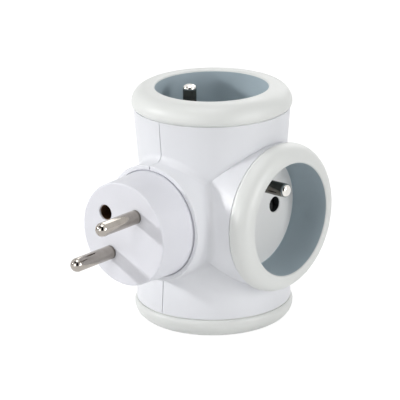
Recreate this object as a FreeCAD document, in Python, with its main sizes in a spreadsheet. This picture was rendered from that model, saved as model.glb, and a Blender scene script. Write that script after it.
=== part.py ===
import FreeCAD, Part
import math
import os

import Sketcher
from FreeCAD import Vector

# A three-way mains adapter. A waisted barrel carries a socket at its top, its bottom and its side,
# and an earthed plug on a round collar. It stands on its bottom ring: the origin is the middle of
# that ring's crest, +Z runs up the barrel axis, the plug points along -Y and the side socket +X.
# Lengths are in millimetres and angles in degrees.

SIZES = {
    # Housing halves
    "barrel_draft": 4.3,          # taper of the barrel from each ring towards its waist
    "waist_half": 13.0,           # half the height of the rounded waist
    "shell_wall": 2.0,
    "neck_stand": 2.4666,         # barrel's waist to the seat of the side ring
    "neck_taper": 0.65,           # from the side ring's seat to the barrel axis
    "collar_stand": 6.7666,       # barrel's waist to the collar's lip
    "collar_wall": 1.6,
    "collar_fillet": 2.5,
    "fillet_margin": 0.5,         # barrel left beside the foot of the collar's fillet
    "seam_shift": 0.7,            # seam plane, to the left of the barrel axis
    "seam_gap": 0.16,
    "spigot_seat": 3.4,           # depth of the straight bore that takes a spigot
    # Socket fronts: a bulging ring in one piece with its recess
    "recess_radius": 19.7,
    "recess_depth": 15.0,
    "cup_wall": 1.6,
    "floor_wall": 2.0,
    "end_ring_wide": 7.45,        # recess to the barrel's edge, at its top and bottom
    "side_ring_wide": 5.55,       # recess to the neck's edge
    "ring_height": 7.1,
    "ring_bulge": 0.7,
    "ring_round": 5.4,
    "ring_core": 2.2,             # crest to the top of the cored channel under it
    "mouth_round": 0.6,
    "groove_wide": 0.3,           # shadow line between ring and housing
    "groove_deep": 0.5,
    "spigot_length": 3.0,
    "spigot_wall": 1.5,
    "spigot_clearance": 0.05,
    "contact_hole_radius": 2.75,
    # Pins, the same pitch and earth offset on the plug and on each socket
    "pin_pitch": 19.0,
    "pin_angle": 52.0,            # line through the plug's live pins, from +X towards +Z
    "pin_radius": 2.4,
    "pin_length": 19.0,
    "pin_root_radius": 2.1,
    "pin_flange_radius": 3.4,
    "pin_flange_thick": 1.2,
    "pin_shank_radius": 1.5,
    "press_gap": 0.03,
    "rivet_head_thick": 0.8,
    "rivet_overhang": 0.7,
    "earth_offset": 10.0,
    "earth_pin_radius": 2.4,
    "earth_tip_setback": 1.5,     # crest of the ring to the tip of the earth pin
    "earth_tip_round": 1.3,
    "earth_root_radius": 2.2,
    "earth_flange_radius": 3.6,
    "earth_flange_thick": 1.2,
    "earth_shank_radius": 1.6,
    # Plug insert
    "insert_step": 14.9,          # collar lip to the plug face
    "insert_taper": 0.5,          # from the collar's lip to the plug face
    "insert_sink": 2.3334,        # barrel's waist to the insert's inner end
    "insert_edge": 0.4,
    "insert_gap": 0.3,
    "insert_face_wall": 4.0,
    "insert_wall": 2.0,
    "boss_wall": 1.8,
    "boss_margin": 1.5,           # earth contact's boss to the wall of the insert
    "boss_length": 6.0,
    "ledge_width": 1.5,
    "ledge_depth": 1.5,
    "ledge_wall": 1.4,
    # Plug earth contact, a split tube
    "earth_hole_radius": 2.65,
    "tube_bore": 2.5,
    "tube_wall": 0.7,
    "tube_base": 2.0,
    "tube_slot": 0.8,
    "tube_slot_depth": 12.0,
    # Shutter, its tray and its spring
    "tray_depth": 4.0,
    "tray_plate": 1.5,
    "tray_wall": 1.4,
    "tray_corner": 1.2,
    "shutter_margin": 0.55,       # shutter block past the edge of the hole it covers
    "shutter_gap": 0.15,
    "shutter_toe": 1.0,           # thickness left at the low end of the ramp
    "bridge_wide": 3.2,
    "bridge_drop": 0.8,
    "peg_radius": 0.7,
    "peg_length": 1.5,
    "spring_length": 9.0,
    "spring_coil_radius": 1.25,
    "spring_wire_radius": 0.2,
    "spring_turns": 6.0,
    "spring_end_gap": 0.05,
    # Live contact sleeves and the strips that join them
    "sleeve_length": 14.1,        # of a top or bottom sleeve
    "sleeve_bore": 2.45,
    "sleeve_wall": 0.75,
    "sleeve_base": 2.0,
    "sleeve_slot": 0.8,
    "sleeve_slot_depth": 9.0,
    "rivet_radius": 1.2,
    "strip_thick": 0.8,
    "strip_width": 6.4,
    "bend_radius": 0.8,
    "bus_tab_level": 4.2,         # plug axis to the inner face of a strip's end tab
    "bus_web_face": 3.2,          # barrel axis to the face that the side sleeve sits on
    "foot_half": 3.0,
    # Earth strip
    "earth_web_reach": 2.4,       # earth pin axis to the near face of the strip's web
    "earth_arm_low": 9.8,
    "earth_arm_width": 3.4,
    "earth_tab_half": 3.2,
}

# Sizes that need more than a sum of the driving ones
WORKED = {
    "half_pitch": "=sizes.pin_pitch / 2",
    "strip_half": "=sizes.strip_width / 2",
    "slot_half": "=sizes.sleeve_slot / 2",
    "tube_slot_half": "=sizes.tube_slot / 2",
    "half_gap": "=sizes.seam_gap / 2",
    "pin_across": "=sizes.pin_pitch / 2 * cos(sizes.pin_angle)",
    "pin_rise": "=sizes.pin_pitch / 2 * sin(sizes.pin_angle)",
    "earth_across": "=sizes.earth_offset * sin(sizes.pin_angle)",
    "earth_rise": "=sizes.earth_offset * cos(sizes.pin_angle)",
    "half_height": "=sizes.recess_depth + sizes.floor_wall + sizes.tray_depth + sizes.tray_plate"
    " + sizes.sleeve_length + sizes.strip_thick + sizes.bus_tab_level",
    "barrel_end_radius": "=sizes.recess_radius + sizes.end_ring_wide",
    "waist_radius": "=worked.barrel_end_radius"
    " - (worked.half_height - sizes.ring_height - sizes.waist_half) * tan(sizes.barrel_draft)",
    "side_reach": "=worked.waist_radius + sizes.neck_stand + sizes.ring_height",
    "plug_reach": "=worked.waist_radius + sizes.collar_stand + sizes.insert_step",
    "insert_length": "=sizes.insert_sink + sizes.collar_stand + sizes.insert_step",
    "insert_radius": "=sizes.earth_offset + sizes.tube_bore + sizes.tube_wall"
    " + sizes.boss_wall + sizes.boss_margin + sizes.insert_wall",
    "neck_radius": "=sizes.recess_radius + sizes.side_ring_wide",
    "neck_root_radius": "=worked.neck_radius - sizes.neck_taper",
    "collar_radius": "=worked.insert_radius + sizes.insert_gap + sizes.collar_wall",
    "collar_foot": "=min(sizes.collar_fillet;"
    " worked.waist_radius - worked.collar_radius - sizes.fillet_margin)",
    "insert_face_radius": "=worked.insert_radius - sizes.insert_taper",
    "waist_arc": "=sizes.waist_half / sin(sizes.barrel_draft)",
    "inner_waist_arc": "=sizes.waist_half / sin(sizes.barrel_draft) + sizes.shell_wall",
    "bulge_fall": "=sizes.ring_height - sizes.groove_wide - sizes.ring_round",
    "bulge_arc": "=(pow(sizes.ring_bulge; 2) + pow(worked.bulge_fall; 2)) / (2 * sizes.ring_bulge)",
    "shutter_half": "=sizes.contact_hole_radius + sizes.shutter_margin",
    "spring_level": "=sizes.recess_depth + sizes.floor_wall + sizes.tray_depth - sizes.shutter_gap"
    " - sizes.spring_coil_radius - sizes.spring_wire_radius",
    "spring_height": "=sizes.spring_length - 2 * sizes.spring_wire_radius - 2 * sizes.spring_end_gap",
    "spring_pitch": "=worked.spring_height / sizes.spring_turns",
    "far": "=2 * (worked.half_height + worked.plug_reach)",
}

# Where the three sockets stand: the turn that takes a socket made facing +Z, and its crest's middle
SOCKETS = {
    "top": (Vector(1, 0, 0), 0, "0", "half_height + half_height"),
    "bottom": (Vector(1, 0, 0), 180, "0", "0"),
    "side": (Vector(0, 1, 0), 90, "side_reach", "half_height"),
}

doc = FreeCAD.newDocument("multi_socket_adapter")


def make_sheet(name, cells):
    """A spreadsheet with one named cell to a row."""
    sheet = doc.addObject("Spreadsheet::Sheet", name)
    for row, (alias, content) in enumerate(cells.items(), start=1):
        sheet.set(f"A{row}", alias)
        sheet.setAlias(f"B{row}", alias)
        sheet.set(f"B{row}", str(content))
    doc.recompute()
    return sheet


sizes = make_sheet("sizes", SIZES)
worked = make_sheet("worked", WORKED)


def sheet_of(alias):
    return sizes if alias in SIZES else worked


def amount(total):
    """Value of a sum of cells such as 'recess_radius + cup_wall' or '-ring_height'."""
    value, sign = 0.0, 1
    for word in total.split():
        if word in "+-":
            sign = 1 if word == "+" else -1
            continue
        if word.startswith("-"):
            sign, word = -sign, word[1:]
        value += sign * (0.0 if word == "0" else getattr(sheet_of(word), word))
        sign = 1
    return value


def bound(total):
    """The same sum as an expression on the sheets."""
    words = []
    for word in total.split():
        minus = "-" if word.startswith("-") and word != "-" else ""
        alias = word.lstrip("-")
        if alias in ("", "+", "0"):
            words.append(word)
        else:
            words.append(f"{minus}{sheet_of(alias).Name}.{alias}")
    return " ".join(words)


def bind(item, path, total):
    item.setExpression(path, bound(total))


def new_body(name):
    body = doc.addObject("PartDesign::Body", name)
    body.Label = name
    return body


def place(body, x="0", y="0", z="half_height", turn=None):
    """Put a finished body in the part's frame. Its own origin goes to x, y, z."""
    if turn:
        body.Placement = FreeCAD.Placement(Vector(), FreeCAD.Rotation(turn[0], turn[1]))
    for axis, total in (("x", x), ("y", y), ("z", z)):
        if total != "0":
            bind(body, f"Placement.Base.{axis}", total)
    return body


def place_in_socket(body, where):
    axis, angle, x, z = SOCKETS[where]
    return place(body, x=x, z=z, turn=(axis, angle))


def sketch_on(body, plane, across="0", along="0", out="0"):
    """A sketch on one of the body's own planes, shifted in its plane and out along its normal.
    The normal of XZ_Plane is -Y."""
    sketch = body.newObject("Sketcher::SketchObject", f"{body.Name}_sketch")
    support = [item for item in body.Origin.OriginFeatures if item.Role == plane][0]
    sketch.AttachmentSupport = [(support, "")]
    sketch.MapMode = "FlatFace"
    for axis, total in (("x", across), ("y", along), ("z", out)):
        if total != "0":
            bind(sketch, f"AttachmentOffset.Base.{axis}", total)
    return sketch


def pin_down(sketch, index, position, x, y):
    """Hold a point of the sketch at x, y from its origin."""
    for kind, total, axis in (("DistanceX", x, -2), ("DistanceY", y, -1)):
        if total == "0":
            sketch.addConstraint(Sketcher.Constraint("PointOnObject", index, position, axis))
        else:
            where = sketch.addConstraint(
                Sketcher.Constraint(kind, -1, 1, index, position, amount(total))
            )
            bind(sketch, f"Constraints[{where}]", total)


def set_radius(sketch, index, total):
    where = sketch.addConstraint(Sketcher.Constraint("Radius", index, amount(total)))
    bind(sketch, f"Constraints[{where}]", total)


def arc_between(start, end, radius, turn):
    """The shorter arc from start to end. turn is 1 if its centre lies left of the way, else -1."""
    chord = end - start
    to_centre = math.sqrt(max(radius**2 - (chord.Length / 2) ** 2, 0))
    left = Vector(-chord.y, chord.x, 0) / chord.Length
    centre = (start + end) / 2 + left * turn * to_centre
    angles = [math.atan2(point.y - centre.y, point.x - centre.x) for point in (start, end)]
    if turn < 0:
        angles.reverse()
    return Part.ArcOfCircle(Part.Circle(centre, Vector(0, 0, 1), radius), angles[0], angles[1])


def outline(sketch, corners):
    """A closed outline. A corner is (x, y), or (x, y, radius, turn) where an arc leads to it."""
    points = [Vector(amount(corner[0]), amount(corner[1]), 0) for corner in corners]
    for index, corner in enumerate(corners):
        start, end = points[index - 1], points[index]
        if len(corner) == 2:
            sketch.addGeometry(Part.LineSegment(start, end))
        else:
            sketch.addGeometry(arc_between(start, end, amount(corner[2]), corner[3]))
    count = len(corners)
    for index, corner in enumerate(corners):
        after = (index + 1) % count
        clockwise = len(corner) > 2 and corner[3] < 0
        after_clockwise = len(corners[after]) > 2 and corners[after][3] < 0
        tail = 1 if clockwise else 2
        head = 2 if after_clockwise else 1
        sketch.addConstraint(Sketcher.Constraint("Coincident", index, tail, after, head))
        pin_down(sketch, index, tail, corner[0], corner[1])
        if len(corner) > 2:
            set_radius(sketch, index, corner[2])
    return sketch


def rectangle(sketch, left, right, low, high):
    return outline(sketch, [(left, low), (right, low), (right, high), (left, high)])


def circles(sketch, rounds):
    """Circles, each given as (x, y, radius)."""
    for x, y, radius in rounds:
        centre = Vector(amount(x), amount(y), 0)
        index = sketch.addGeometry(Part.Circle(centre, Vector(0, 0, 1), amount(radius)))
        pin_down(sketch, index, 3, x, y)
        set_radius(sketch, index, radius)
    return sketch


def extrude(body, kind, sketch, length=None, both_ways=False, against=False):
    """A Pad or a Pocket. With no length a Pocket goes right through."""
    feature = body.newObject(f"PartDesign::{kind}", f"{body.Name}_{kind.lower()}")
    feature.Profile = sketch
    if length:
        bind(feature, "Length", length)
    else:
        feature.Type = "ThroughAll"
    feature.SideType = "Symmetric" if both_ways else "One side"
    feature.Reversed = against
    doc.recompute()
    return feature


def pad(body, sketch, length, both_ways=False, against=False):
    return extrude(body, "Pad", sketch, length, both_ways, against)


def pocket(body, sketch, length=None, both_ways=False, against=False):
    """A Pocket, checked to have taken something away."""
    before = body.Tip.Shape.Volume
    feature = extrude(body, "Pocket", sketch, length, both_ways, against)
    if feature.Shape.Volume >= before:
        raise RuntimeError(f"{feature.Name} cuts nothing")
    return feature


def revolve(body, sketch, axis="V_Axis", kind="Revolution"):
    before = body.Tip.Shape.Volume if kind == "Groove" else 0
    feature = body.newObject(f"PartDesign::{kind}", f"{body.Name}_{kind.lower()}")
    feature.Profile = sketch
    feature.ReferenceAxis = (sketch, [axis])
    feature.Angle = 360
    doc.recompute()
    if kind == "Groove" and feature.Shape.Volume >= before:
        raise RuntimeError(f"{feature.Name} cuts nothing")
    return feature


def samples(edge, count=7):
    """Points along an edge, to tell where it runs."""
    first, last = edge.ParameterRange
    return [edge.valueAt(first + (last - first) * step / (count - 1)) for step in range(count)]


def fillet(body, radius, wanted):
    """Round the edges of the body whose every sample point passes the test."""
    tip = body.Tip
    names = [
        f"Edge{number}"
        for number, edge in enumerate(tip.Shape.Edges, start=1)
        if all(wanted(point) for point in samples(edge))
    ]
    if not names:
        raise RuntimeError(f"{body.Name}: no edge to round")
    feature = body.newObject("PartDesign::Fillet", f"{body.Name}_fillet")
    feature.Base = (tip, names)
    bind(feature, "Radius", radius)
    doc.recompute()
    return feature


def near(value, total, slack=0.03):
    return abs(value - amount(total)) < slack


SEAT = "half_height - ring_height"
NECK_SEAT = "side_reach - ring_height"
COLLAR_FRONT = "plug_reach - insert_step"
INSERT_END = "plug_reach - insert_length"
PLATE_BACK = "plug_reach - insert_face_wall"
FLOOR_UNDER = "-recess_depth - floor_wall"
TRAY_UNDER = "-recess_depth - floor_wall - tray_depth - tray_plate"
SLEEVE_OUTER = "sleeve_bore + sleeve_wall"


def housing(name, side):
    """Half of the moulded housing. side is -1 for the left half, or 1 for the right half, which has
    the neck of the side socket. Both are cut from one form, so that their edges meet."""
    body = new_body(name)
    skin = sketch_on(body, "XZ_Plane")
    outline(skin, [
        ("0", "-half_height + ring_height"),
        ("barrel_end_radius", "-half_height + ring_height"),
        ("waist_radius", "-waist_half"),
        ("waist_radius", "waist_half", "waist_arc", -1),
        ("barrel_end_radius", SEAT),
        ("0", SEAT),
    ])
    revolve(body, skin)

    if side > 0:
        neck = sketch_on(body, "XY_Plane")
        outline(neck, [
            ("0", "0"),
            (NECK_SEAT, "0"),
            (NECK_SEAT, "neck_radius"),
            ("0", "neck_root_radius"),
        ])
        revolve(body, neck, "H_Axis")

    collar = sketch_on(body, "XZ_Plane")
    circles(collar, [("0", "0", "collar_radius")])
    pad(body, collar, COLLAR_FRONT)

    def at_collar_foot(point):
        on_collar = near(math.hypot(point.x, point.z), "collar_radius")
        return on_collar and -amount(COLLAR_FRONT) + 1 < point.y < -1

    fillet(body, "collar_foot", at_collar_foot)

    hollow = sketch_on(body, "XZ_Plane")
    outline(hollow, [
        ("0", "-half_height + ring_height"),
        ("barrel_end_radius - shell_wall", "-half_height + ring_height"),
        ("barrel_end_radius - shell_wall", "-half_height + ring_height + spigot_seat"),
        ("waist_radius - shell_wall", "-waist_half"),
        ("waist_radius - shell_wall", "waist_half", "inner_waist_arc", -1),
        ("barrel_end_radius - shell_wall", "half_height - ring_height - spigot_seat"),
        ("barrel_end_radius - shell_wall", SEAT),
        ("0", SEAT),
    ])
    revolve(body, hollow, kind="Groove")

    if side > 0:
        mouth = sketch_on(body, "YZ_Plane", out=NECK_SEAT)
        circles(mouth, [("0", "0", "neck_radius - shell_wall")])
        pocket(body, mouth, NECK_SEAT)

    ledge = sketch_on(body, "XZ_Plane", out=INSERT_END + " - ledge_depth")
    circles(ledge, [("0", "0", "insert_radius + insert_gap + ledge_wall")])
    pad(body, ledge, "ledge_depth + ledge_depth + ledge_depth")

    seat = sketch_on(body, "XZ_Plane", out=COLLAR_FRONT)
    circles(seat, [("0", "0", "insert_radius + insert_gap")])
    pocket(body, seat, "insert_length - insert_step")

    way_in = sketch_on(body, "XZ_Plane", out=COLLAR_FRONT)
    circles(way_in, [("0", "0", "insert_radius - ledge_width")])
    pocket(body, way_in, COLLAR_FRONT)

    other = sketch_on(body, "XZ_Plane")
    if side < 0:
        rectangle(other, "-seam_shift - half_gap", "far", "-far", "far")
    else:
        rectangle(other, "-far", "-seam_shift + half_gap", "-far", "far")
    pocket(body, other, both_ways=True)
    return place(body)


def socket_front(where):
    """Ring and recess in one moulding, with the two contact holes and the seat of the earth pin.
    It is made facing +Z with its crest at zero."""
    body = new_body(f"socket_front_{where}")
    joint = "neck_radius" if where == "side" else "barrel_end_radius"
    spigot = f"{joint} - shell_wall - spigot_clearance"
    corners = [
        ("0", FLOOR_UNDER),
        ("0", "-recess_depth"),
        ("recess_radius", "-recess_depth"),
        ("recess_radius", "-mouth_round"),
        ("recess_radius + mouth_round", "0", "mouth_round", -1),
        (f"{joint} + ring_bulge - ring_round", "0"),
        (f"{joint} + ring_bulge", "-ring_round", "ring_round", -1),
        (joint, "-ring_height + groove_wide", "bulge_arc", -1),
        (f"{joint} - groove_deep", "-ring_height + groove_wide"),
        (f"{joint} - groove_deep", "-ring_height"),
        (spigot, "-ring_height"),
        (spigot, "-ring_height - spigot_length"),
    ]
    if where == "side":
        corners.append(("recess_radius + cup_wall", "-ring_height - spigot_length"))
    else:
        corners += [
            (f"{spigot} - spigot_wall", "-ring_height - spigot_length"),
            (f"{spigot} - spigot_wall", "-ring_core"),
            ("recess_radius + cup_wall", "-ring_core"),
        ]
    corners.append(("recess_radius + cup_wall", FLOOR_UNDER))
    profile = sketch_on(body, "XZ_Plane")
    outline(profile, corners)
    revolve(body, profile)

    holes = sketch_on(body, "XY_Plane")
    circles(holes, [
        ("0", "half_pitch", "contact_hole_radius"),
        ("0", "-half_pitch", "contact_hole_radius"),
        ("-earth_offset", "0", "earth_root_radius + press_gap"),
    ])
    pocket(body, holes)
    return place_in_socket(body, where)


def earth_pin(where):
    """Turned pin that stands in a socket. Its root fills the floor, a flange backs it, and its
    shank is riveted through the earth strip."""
    body = new_body(f"earth_pin_{where}")
    seat = f"{FLOOR_UNDER} - earth_flange_thick"
    profile = sketch_on(body, "XZ_Plane", across="-earth_offset")
    outline(profile, [
        ("0", "-earth_tip_setback"),
        ("0", f"{seat} - strip_thick - rivet_head_thick"),
        ("earth_shank_radius + rivet_overhang", f"{seat} - strip_thick - rivet_head_thick"),
        ("earth_shank_radius + rivet_overhang", f"{seat} - strip_thick"),
        ("earth_shank_radius", f"{seat} - strip_thick"),
        ("earth_shank_radius", seat),
        ("earth_flange_radius", seat),
        ("earth_flange_radius", FLOOR_UNDER),
        ("earth_root_radius", FLOOR_UNDER),
        ("earth_root_radius", "-recess_depth"),
        ("earth_pin_radius", "-recess_depth"),
        ("earth_pin_radius", "-earth_tip_setback - earth_tip_round"),
        ("earth_pin_radius - earth_tip_round", "-earth_tip_setback", "earth_tip_round", 1),
    ])
    revolve(body, profile)
    return place_in_socket(body, where)


def shutter_tray(where):
    """Tray under the floor of a recess. The shutter slides in it, and its end wall holds the spring."""
    body = new_body(f"shutter_tray_{where}")
    back = "-shutter_half - shutter_gap"
    front = "shutter_half + spring_length"
    edge = "half_pitch + shutter_half + shutter_gap"
    base = sketch_on(body, "XY_Plane", out=TRAY_UNDER)
    rectangle(
        base, f"{back} - tray_wall", f"{front} + tray_wall",
        "-half_pitch - shutter_half - shutter_gap - tray_wall", f"{edge} + tray_wall",
    )
    pad(body, base, "tray_plate + tray_depth")

    def at_corner(point):
        far_out = abs(point.y) > amount(f"{edge} + tray_wall") - 0.01
        outside = point.x < amount(f"{back} - tray_wall") + 0.01
        return far_out and (outside or point.x > amount(f"{front} + tray_wall") - 0.01)

    fillet(body, "tray_corner", at_corner)

    inside = sketch_on(body, "XY_Plane", out=FLOOR_UNDER)
    rectangle(inside, back, front, "-half_pitch - shutter_half - shutter_gap", edge)
    pocket(body, inside, "tray_depth")

    holes = sketch_on(body, "XY_Plane")
    circles(holes, [
        ("0", "half_pitch", "contact_hole_radius"),
        ("0", "-half_pitch", "contact_hole_radius"),
    ])
    pocket(body, holes)
    return place_in_socket(body, where)


def shutter(where):
    """Sliding shutter: two ramped blocks behind the contact holes, a bridge and a spring peg. Both
    plug pins press on the ramps and push it aside together."""
    body = new_body(f"shutter_{where}")
    top = f"{FLOOR_UNDER} - shutter_gap"
    low = f"{FLOOR_UNDER} - tray_depth + shutter_gap"
    ramp = sketch_on(body, "XZ_Plane")
    outline(ramp, [
        ("-shutter_half", low),
        ("shutter_half", low),
        ("shutter_half", top),
        ("shutter_half - shutter_margin", top),
        ("-shutter_half", f"{low} + shutter_toe"),
    ])
    pad(
        body, ramp, "half_pitch + half_pitch + shutter_half + shutter_half", both_ways=True
    )

    between = sketch_on(body, "XY_Plane")
    rectangle(
        between, "-far", "shutter_half - bridge_wide",
        "-half_pitch + shutter_half", "half_pitch - shutter_half",
    )
    pocket(body, between)

    over_bridge = sketch_on(body, "XY_Plane", out=top)
    rectangle(
        over_bridge, "-far", "far", "-half_pitch + shutter_half", "half_pitch - shutter_half"
    )
    pocket(body, over_bridge, "bridge_drop")

    peg = sketch_on(body, "YZ_Plane", out="shutter_half")
    circles(peg, [("0", "-spring_level", "peg_radius")])
    pad(body, peg, "peg_length")
    return place_in_socket(body, where)


def shutter_spring(where):
    """Compression spring between the shutter's bridge and the tray's end wall."""
    body = new_body(f"shutter_spring_{where}")
    wire = sketch_on(body, "XZ_Plane", along="-spring_level")
    start = "shutter_half + spring_end_gap + spring_wire_radius"
    circles(wire, [(start, "spring_coil_radius", "spring_wire_radius")])
    coil = body.newObject("PartDesign::AdditiveHelix", f"{body.Name}_coil")
    coil.Profile = wire
    coil.ReferenceAxis = (wire, ["H_Axis"])
    coil.Mode = "pitch-height-angle"
    bind(coil, "Pitch", "spring_pitch")
    bind(coil, "Height", "spring_height")
    doc.recompute()
    return place_in_socket(body, where)


def contact_sleeve(name, where, row, end):
    """Split brass sleeve that grips a plug pin. It stands under the tray and is riveted to its strip.
    row is the side of the socket's middle it stands on, and end is the level of its seat."""
    body = new_body(name)
    profile = sketch_on(body, "XZ_Plane", out=row)
    outline(profile, [
        ("sleeve_bore", TRAY_UNDER),
        (SLEEVE_OUTER, TRAY_UNDER),
        (SLEEVE_OUTER, end),
        ("rivet_radius", end),
        ("rivet_radius", f"{end} - strip_thick"),
        ("rivet_radius + rivet_overhang", f"{end} - strip_thick"),
        ("rivet_radius + rivet_overhang", f"{end} - strip_thick - rivet_head_thick"),
        ("0", f"{end} - strip_thick - rivet_head_thick"),
        ("0", f"{end} + sleeve_base"),
        ("sleeve_bore", f"{end} + sleeve_base"),
    ])
    revolve(body, profile)

    opposite = row[1:] if row.startswith("-") else f"-{row}"
    slot = sketch_on(body, "YZ_Plane", across=opposite)
    rectangle(
        slot, "-slot_half", "slot_half", f"{TRAY_UNDER} - sleeve_slot_depth", TRAY_UNDER
    )
    pocket(body, slot, both_ways=True)
    return place_in_socket(body, where)


def rivet_holes(body, y, level):
    """Holes in a live strip for the shanks of its three sleeves: y is the strip's middle."""
    tabs = sketch_on(body, "XY_Plane")
    circles(tabs, [("0", y, "rivet_radius + press_gap")])
    pocket(body, tabs, both_ways=True)
    web = sketch_on(body, "YZ_Plane", out="-bus_web_face")
    circles(web, [(y, level, "rivet_radius + press_gap")])
    pocket(body, web, "strip_thick")


def rear_strip():
    """Folded brass strip behind the barrel axis. Its foot takes the upper live pin."""
    body = new_body("rear_contact_strip")
    tab = "bus_tab_level + strip_thick"
    tab_end = "pin_across + foot_half"
    profile = sketch_on(body, "XZ_Plane", out="-half_pitch")
    outline(profile, [
        ("-bus_web_face - strip_thick", "-bus_tab_level - strip_thick"),
        (SLEEVE_OUTER, "-bus_tab_level - strip_thick"),
        (SLEEVE_OUTER, "-bus_tab_level"),
        ("-bus_web_face", "-bus_tab_level"),
        ("-bus_web_face", "bus_tab_level"),
        (tab_end, "bus_tab_level"),
        (tab_end, tab),
        ("-bus_web_face - strip_thick", tab),
    ])
    pad(body, profile, "strip_width", both_ways=True)

    foot = sketch_on(body, "XZ_Plane", out="-half_pitch + strip_half")
    rectangle(foot, "pin_across - foot_half", tab_end, "bus_tab_level", "pin_rise + foot_half")
    pad(body, foot, "strip_thick", against=True)
    round_bends(body, ("-bus_web_face - strip_thick",), (tab, "-bus_tab_level - strip_thick"))

    hole = sketch_on(body, "XZ_Plane", out="-half_pitch + strip_half")
    circles(hole, [("pin_across", "pin_rise", "pin_shank_radius + press_gap")])
    pocket(body, hole, "strip_thick")
    rivet_holes(body, "half_pitch", "0")
    return place(body)


def front_strip():
    """Folded brass strip in front of the barrel axis. Its foot takes the lower live pin."""
    body = new_body("front_contact_strip")
    tab = "bus_tab_level + strip_thick"
    foot_far = "-pin_across - foot_half"
    profile = sketch_on(body, "XZ_Plane", out="half_pitch")
    outline(profile, [
        (foot_far, "-bus_tab_level - strip_thick"),
        (SLEEVE_OUTER, "-bus_tab_level - strip_thick"),
        (SLEEVE_OUTER, "-bus_tab_level"),
        ("-bus_web_face", "-bus_tab_level"),
        ("-bus_web_face", "bus_tab_level"),
        (SLEEVE_OUTER, "bus_tab_level"),
        (SLEEVE_OUTER, tab),
        ("-bus_web_face - strip_thick", tab),
        ("-bus_web_face - strip_thick", "-bus_tab_level"),
        (foot_far, "-bus_tab_level"),
    ])
    pad(body, profile, "strip_width", both_ways=True)

    foot = sketch_on(body, "XZ_Plane", out="half_pitch + strip_half")
    rectangle(foot, foot_far, "-pin_across + foot_half", "-pin_rise - foot_half", "-bus_tab_level")
    pad(body, foot, "strip_thick", against=True)
    round_bends(body, ("-bus_web_face - strip_thick",), (tab,))

    hole = sketch_on(body, "XZ_Plane", out="half_pitch + strip_half")
    circles(hole, [("-pin_across", "-pin_rise", "pin_shank_radius + press_gap")])
    pocket(body, hole, "strip_thick")
    rivet_holes(body, "-half_pitch", "0")
    return place(body)


def round_bends(body, across, levels):
    """Round the outer bends of a folded strip: the edges along Y at these x and z."""
    def at_bend(point):
        beside = any(near(point.x, x) for x in across)
        return beside and any(near(point.z, z) for z in levels)

    fillet(body, "bend_radius", at_bend)


def earth_strip():
    """Folded earth strip: a web with tabs on the top and bottom earth pins, an arm to the side
    pin and an arm forward to the plug's earth contact."""
    body = new_body("earth_strip")
    level = "half_height - recess_depth - floor_wall - earth_flange_thick"
    under = "-half_height + recess_depth + floor_wall + earth_flange_thick"
    web_far = "-earth_offset - earth_web_reach - strip_thick"
    web_near = "-earth_offset - earth_web_reach"
    tab_end = "-earth_offset + earth_flange_radius"
    side_seat = "side_reach - recess_depth - floor_wall - earth_flange_thick"
    profile = sketch_on(body, "XZ_Plane")
    outline(profile, [
        (web_far, under),
        (tab_end, under),
        (tab_end, f"{under} + strip_thick"),
        (web_near, f"{under} + strip_thick"),
        (web_near, f"{level} - strip_thick"),
        (tab_end, f"{level} - strip_thick"),
        (tab_end, level),
        (web_far, level),
    ])
    pad(body, profile, "strip_width", both_ways=True)
    round_bends(body, (web_far,), (level, under))

    arm_top = "earth_arm_low + earth_arm_width"
    side_arm = sketch_on(body, "XZ_Plane", out="-strip_half")
    rectangle(side_arm, web_far, side_seat, "earth_arm_low", arm_top)
    pad(body, side_arm, "strip_thick")

    side_tab = sketch_on(body, "YZ_Plane", out=side_seat)
    rectangle(side_tab, "-strip_half", "strip_half", "earth_offset - earth_tab_half", arm_top)
    pad(body, side_tab, "strip_thick", against=True)

    front_arm = sketch_on(body, "YZ_Plane", out=web_far)
    rectangle(
        front_arm, "-plug_reach + insert_length", "0",
        "earth_rise - strip_half", "earth_rise + strip_half",
    )
    pad(body, front_arm, "strip_thick")

    plug_tab = sketch_on(body, "XZ_Plane", out=INSERT_END)
    rectangle(
        plug_tab, web_far, "-earth_across + earth_tab_half",
        "earth_rise - strip_half", "earth_rise + strip_half",
    )
    pad(body, plug_tab, "strip_thick", against=True)

    pin_holes = sketch_on(body, "XY_Plane")
    circles(pin_holes, [("-earth_offset", "0", "earth_shank_radius + press_gap")])
    pocket(body, pin_holes, both_ways=True)
    side_hole = sketch_on(body, "YZ_Plane", out=side_seat)
    circles(side_hole, [("0", "earth_offset", "earth_shank_radius + press_gap")])
    pocket(body, side_hole, "strip_thick")
    plug_hole = sketch_on(body, "XZ_Plane", out=INSERT_END)
    circles(plug_hole, [("-earth_across", "earth_rise", "rivet_radius + press_gap")])
    pocket(body, plug_hole, "strip_thick")
    return place(body)


def plug_pin(name, x, z, seat):
    """Turned live pin with a ball tip. Its root is held in the insert, and its shank is riveted
    to a contact strip whose front is at seat."""
    body = new_body(name)
    root_end = "-plug_reach + insert_face_wall + boss_length"
    profile = sketch_on(body, "XY_Plane")
    outline(profile, [
        ("0", "-plug_reach - pin_length"),
        ("pin_radius", "-plug_reach - pin_length + pin_radius", "pin_radius", 1),
        ("pin_radius", "-plug_reach"),
        ("pin_root_radius", "-plug_reach"),
        ("pin_root_radius", root_end),
        ("pin_flange_radius", root_end),
        ("pin_flange_radius", f"{root_end} + pin_flange_thick"),
        ("pin_shank_radius", f"{root_end} + pin_flange_thick"),
        ("pin_shank_radius", f"{seat} + strip_thick"),
        ("pin_shank_radius + rivet_overhang", f"{seat} + strip_thick"),
        ("pin_shank_radius + rivet_overhang", f"{seat} + strip_thick + rivet_head_thick"),
        ("0", f"{seat} + strip_thick + rivet_head_thick"),
    ])
    revolve(body, profile)
    return place(body, x=x, z=z)


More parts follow.
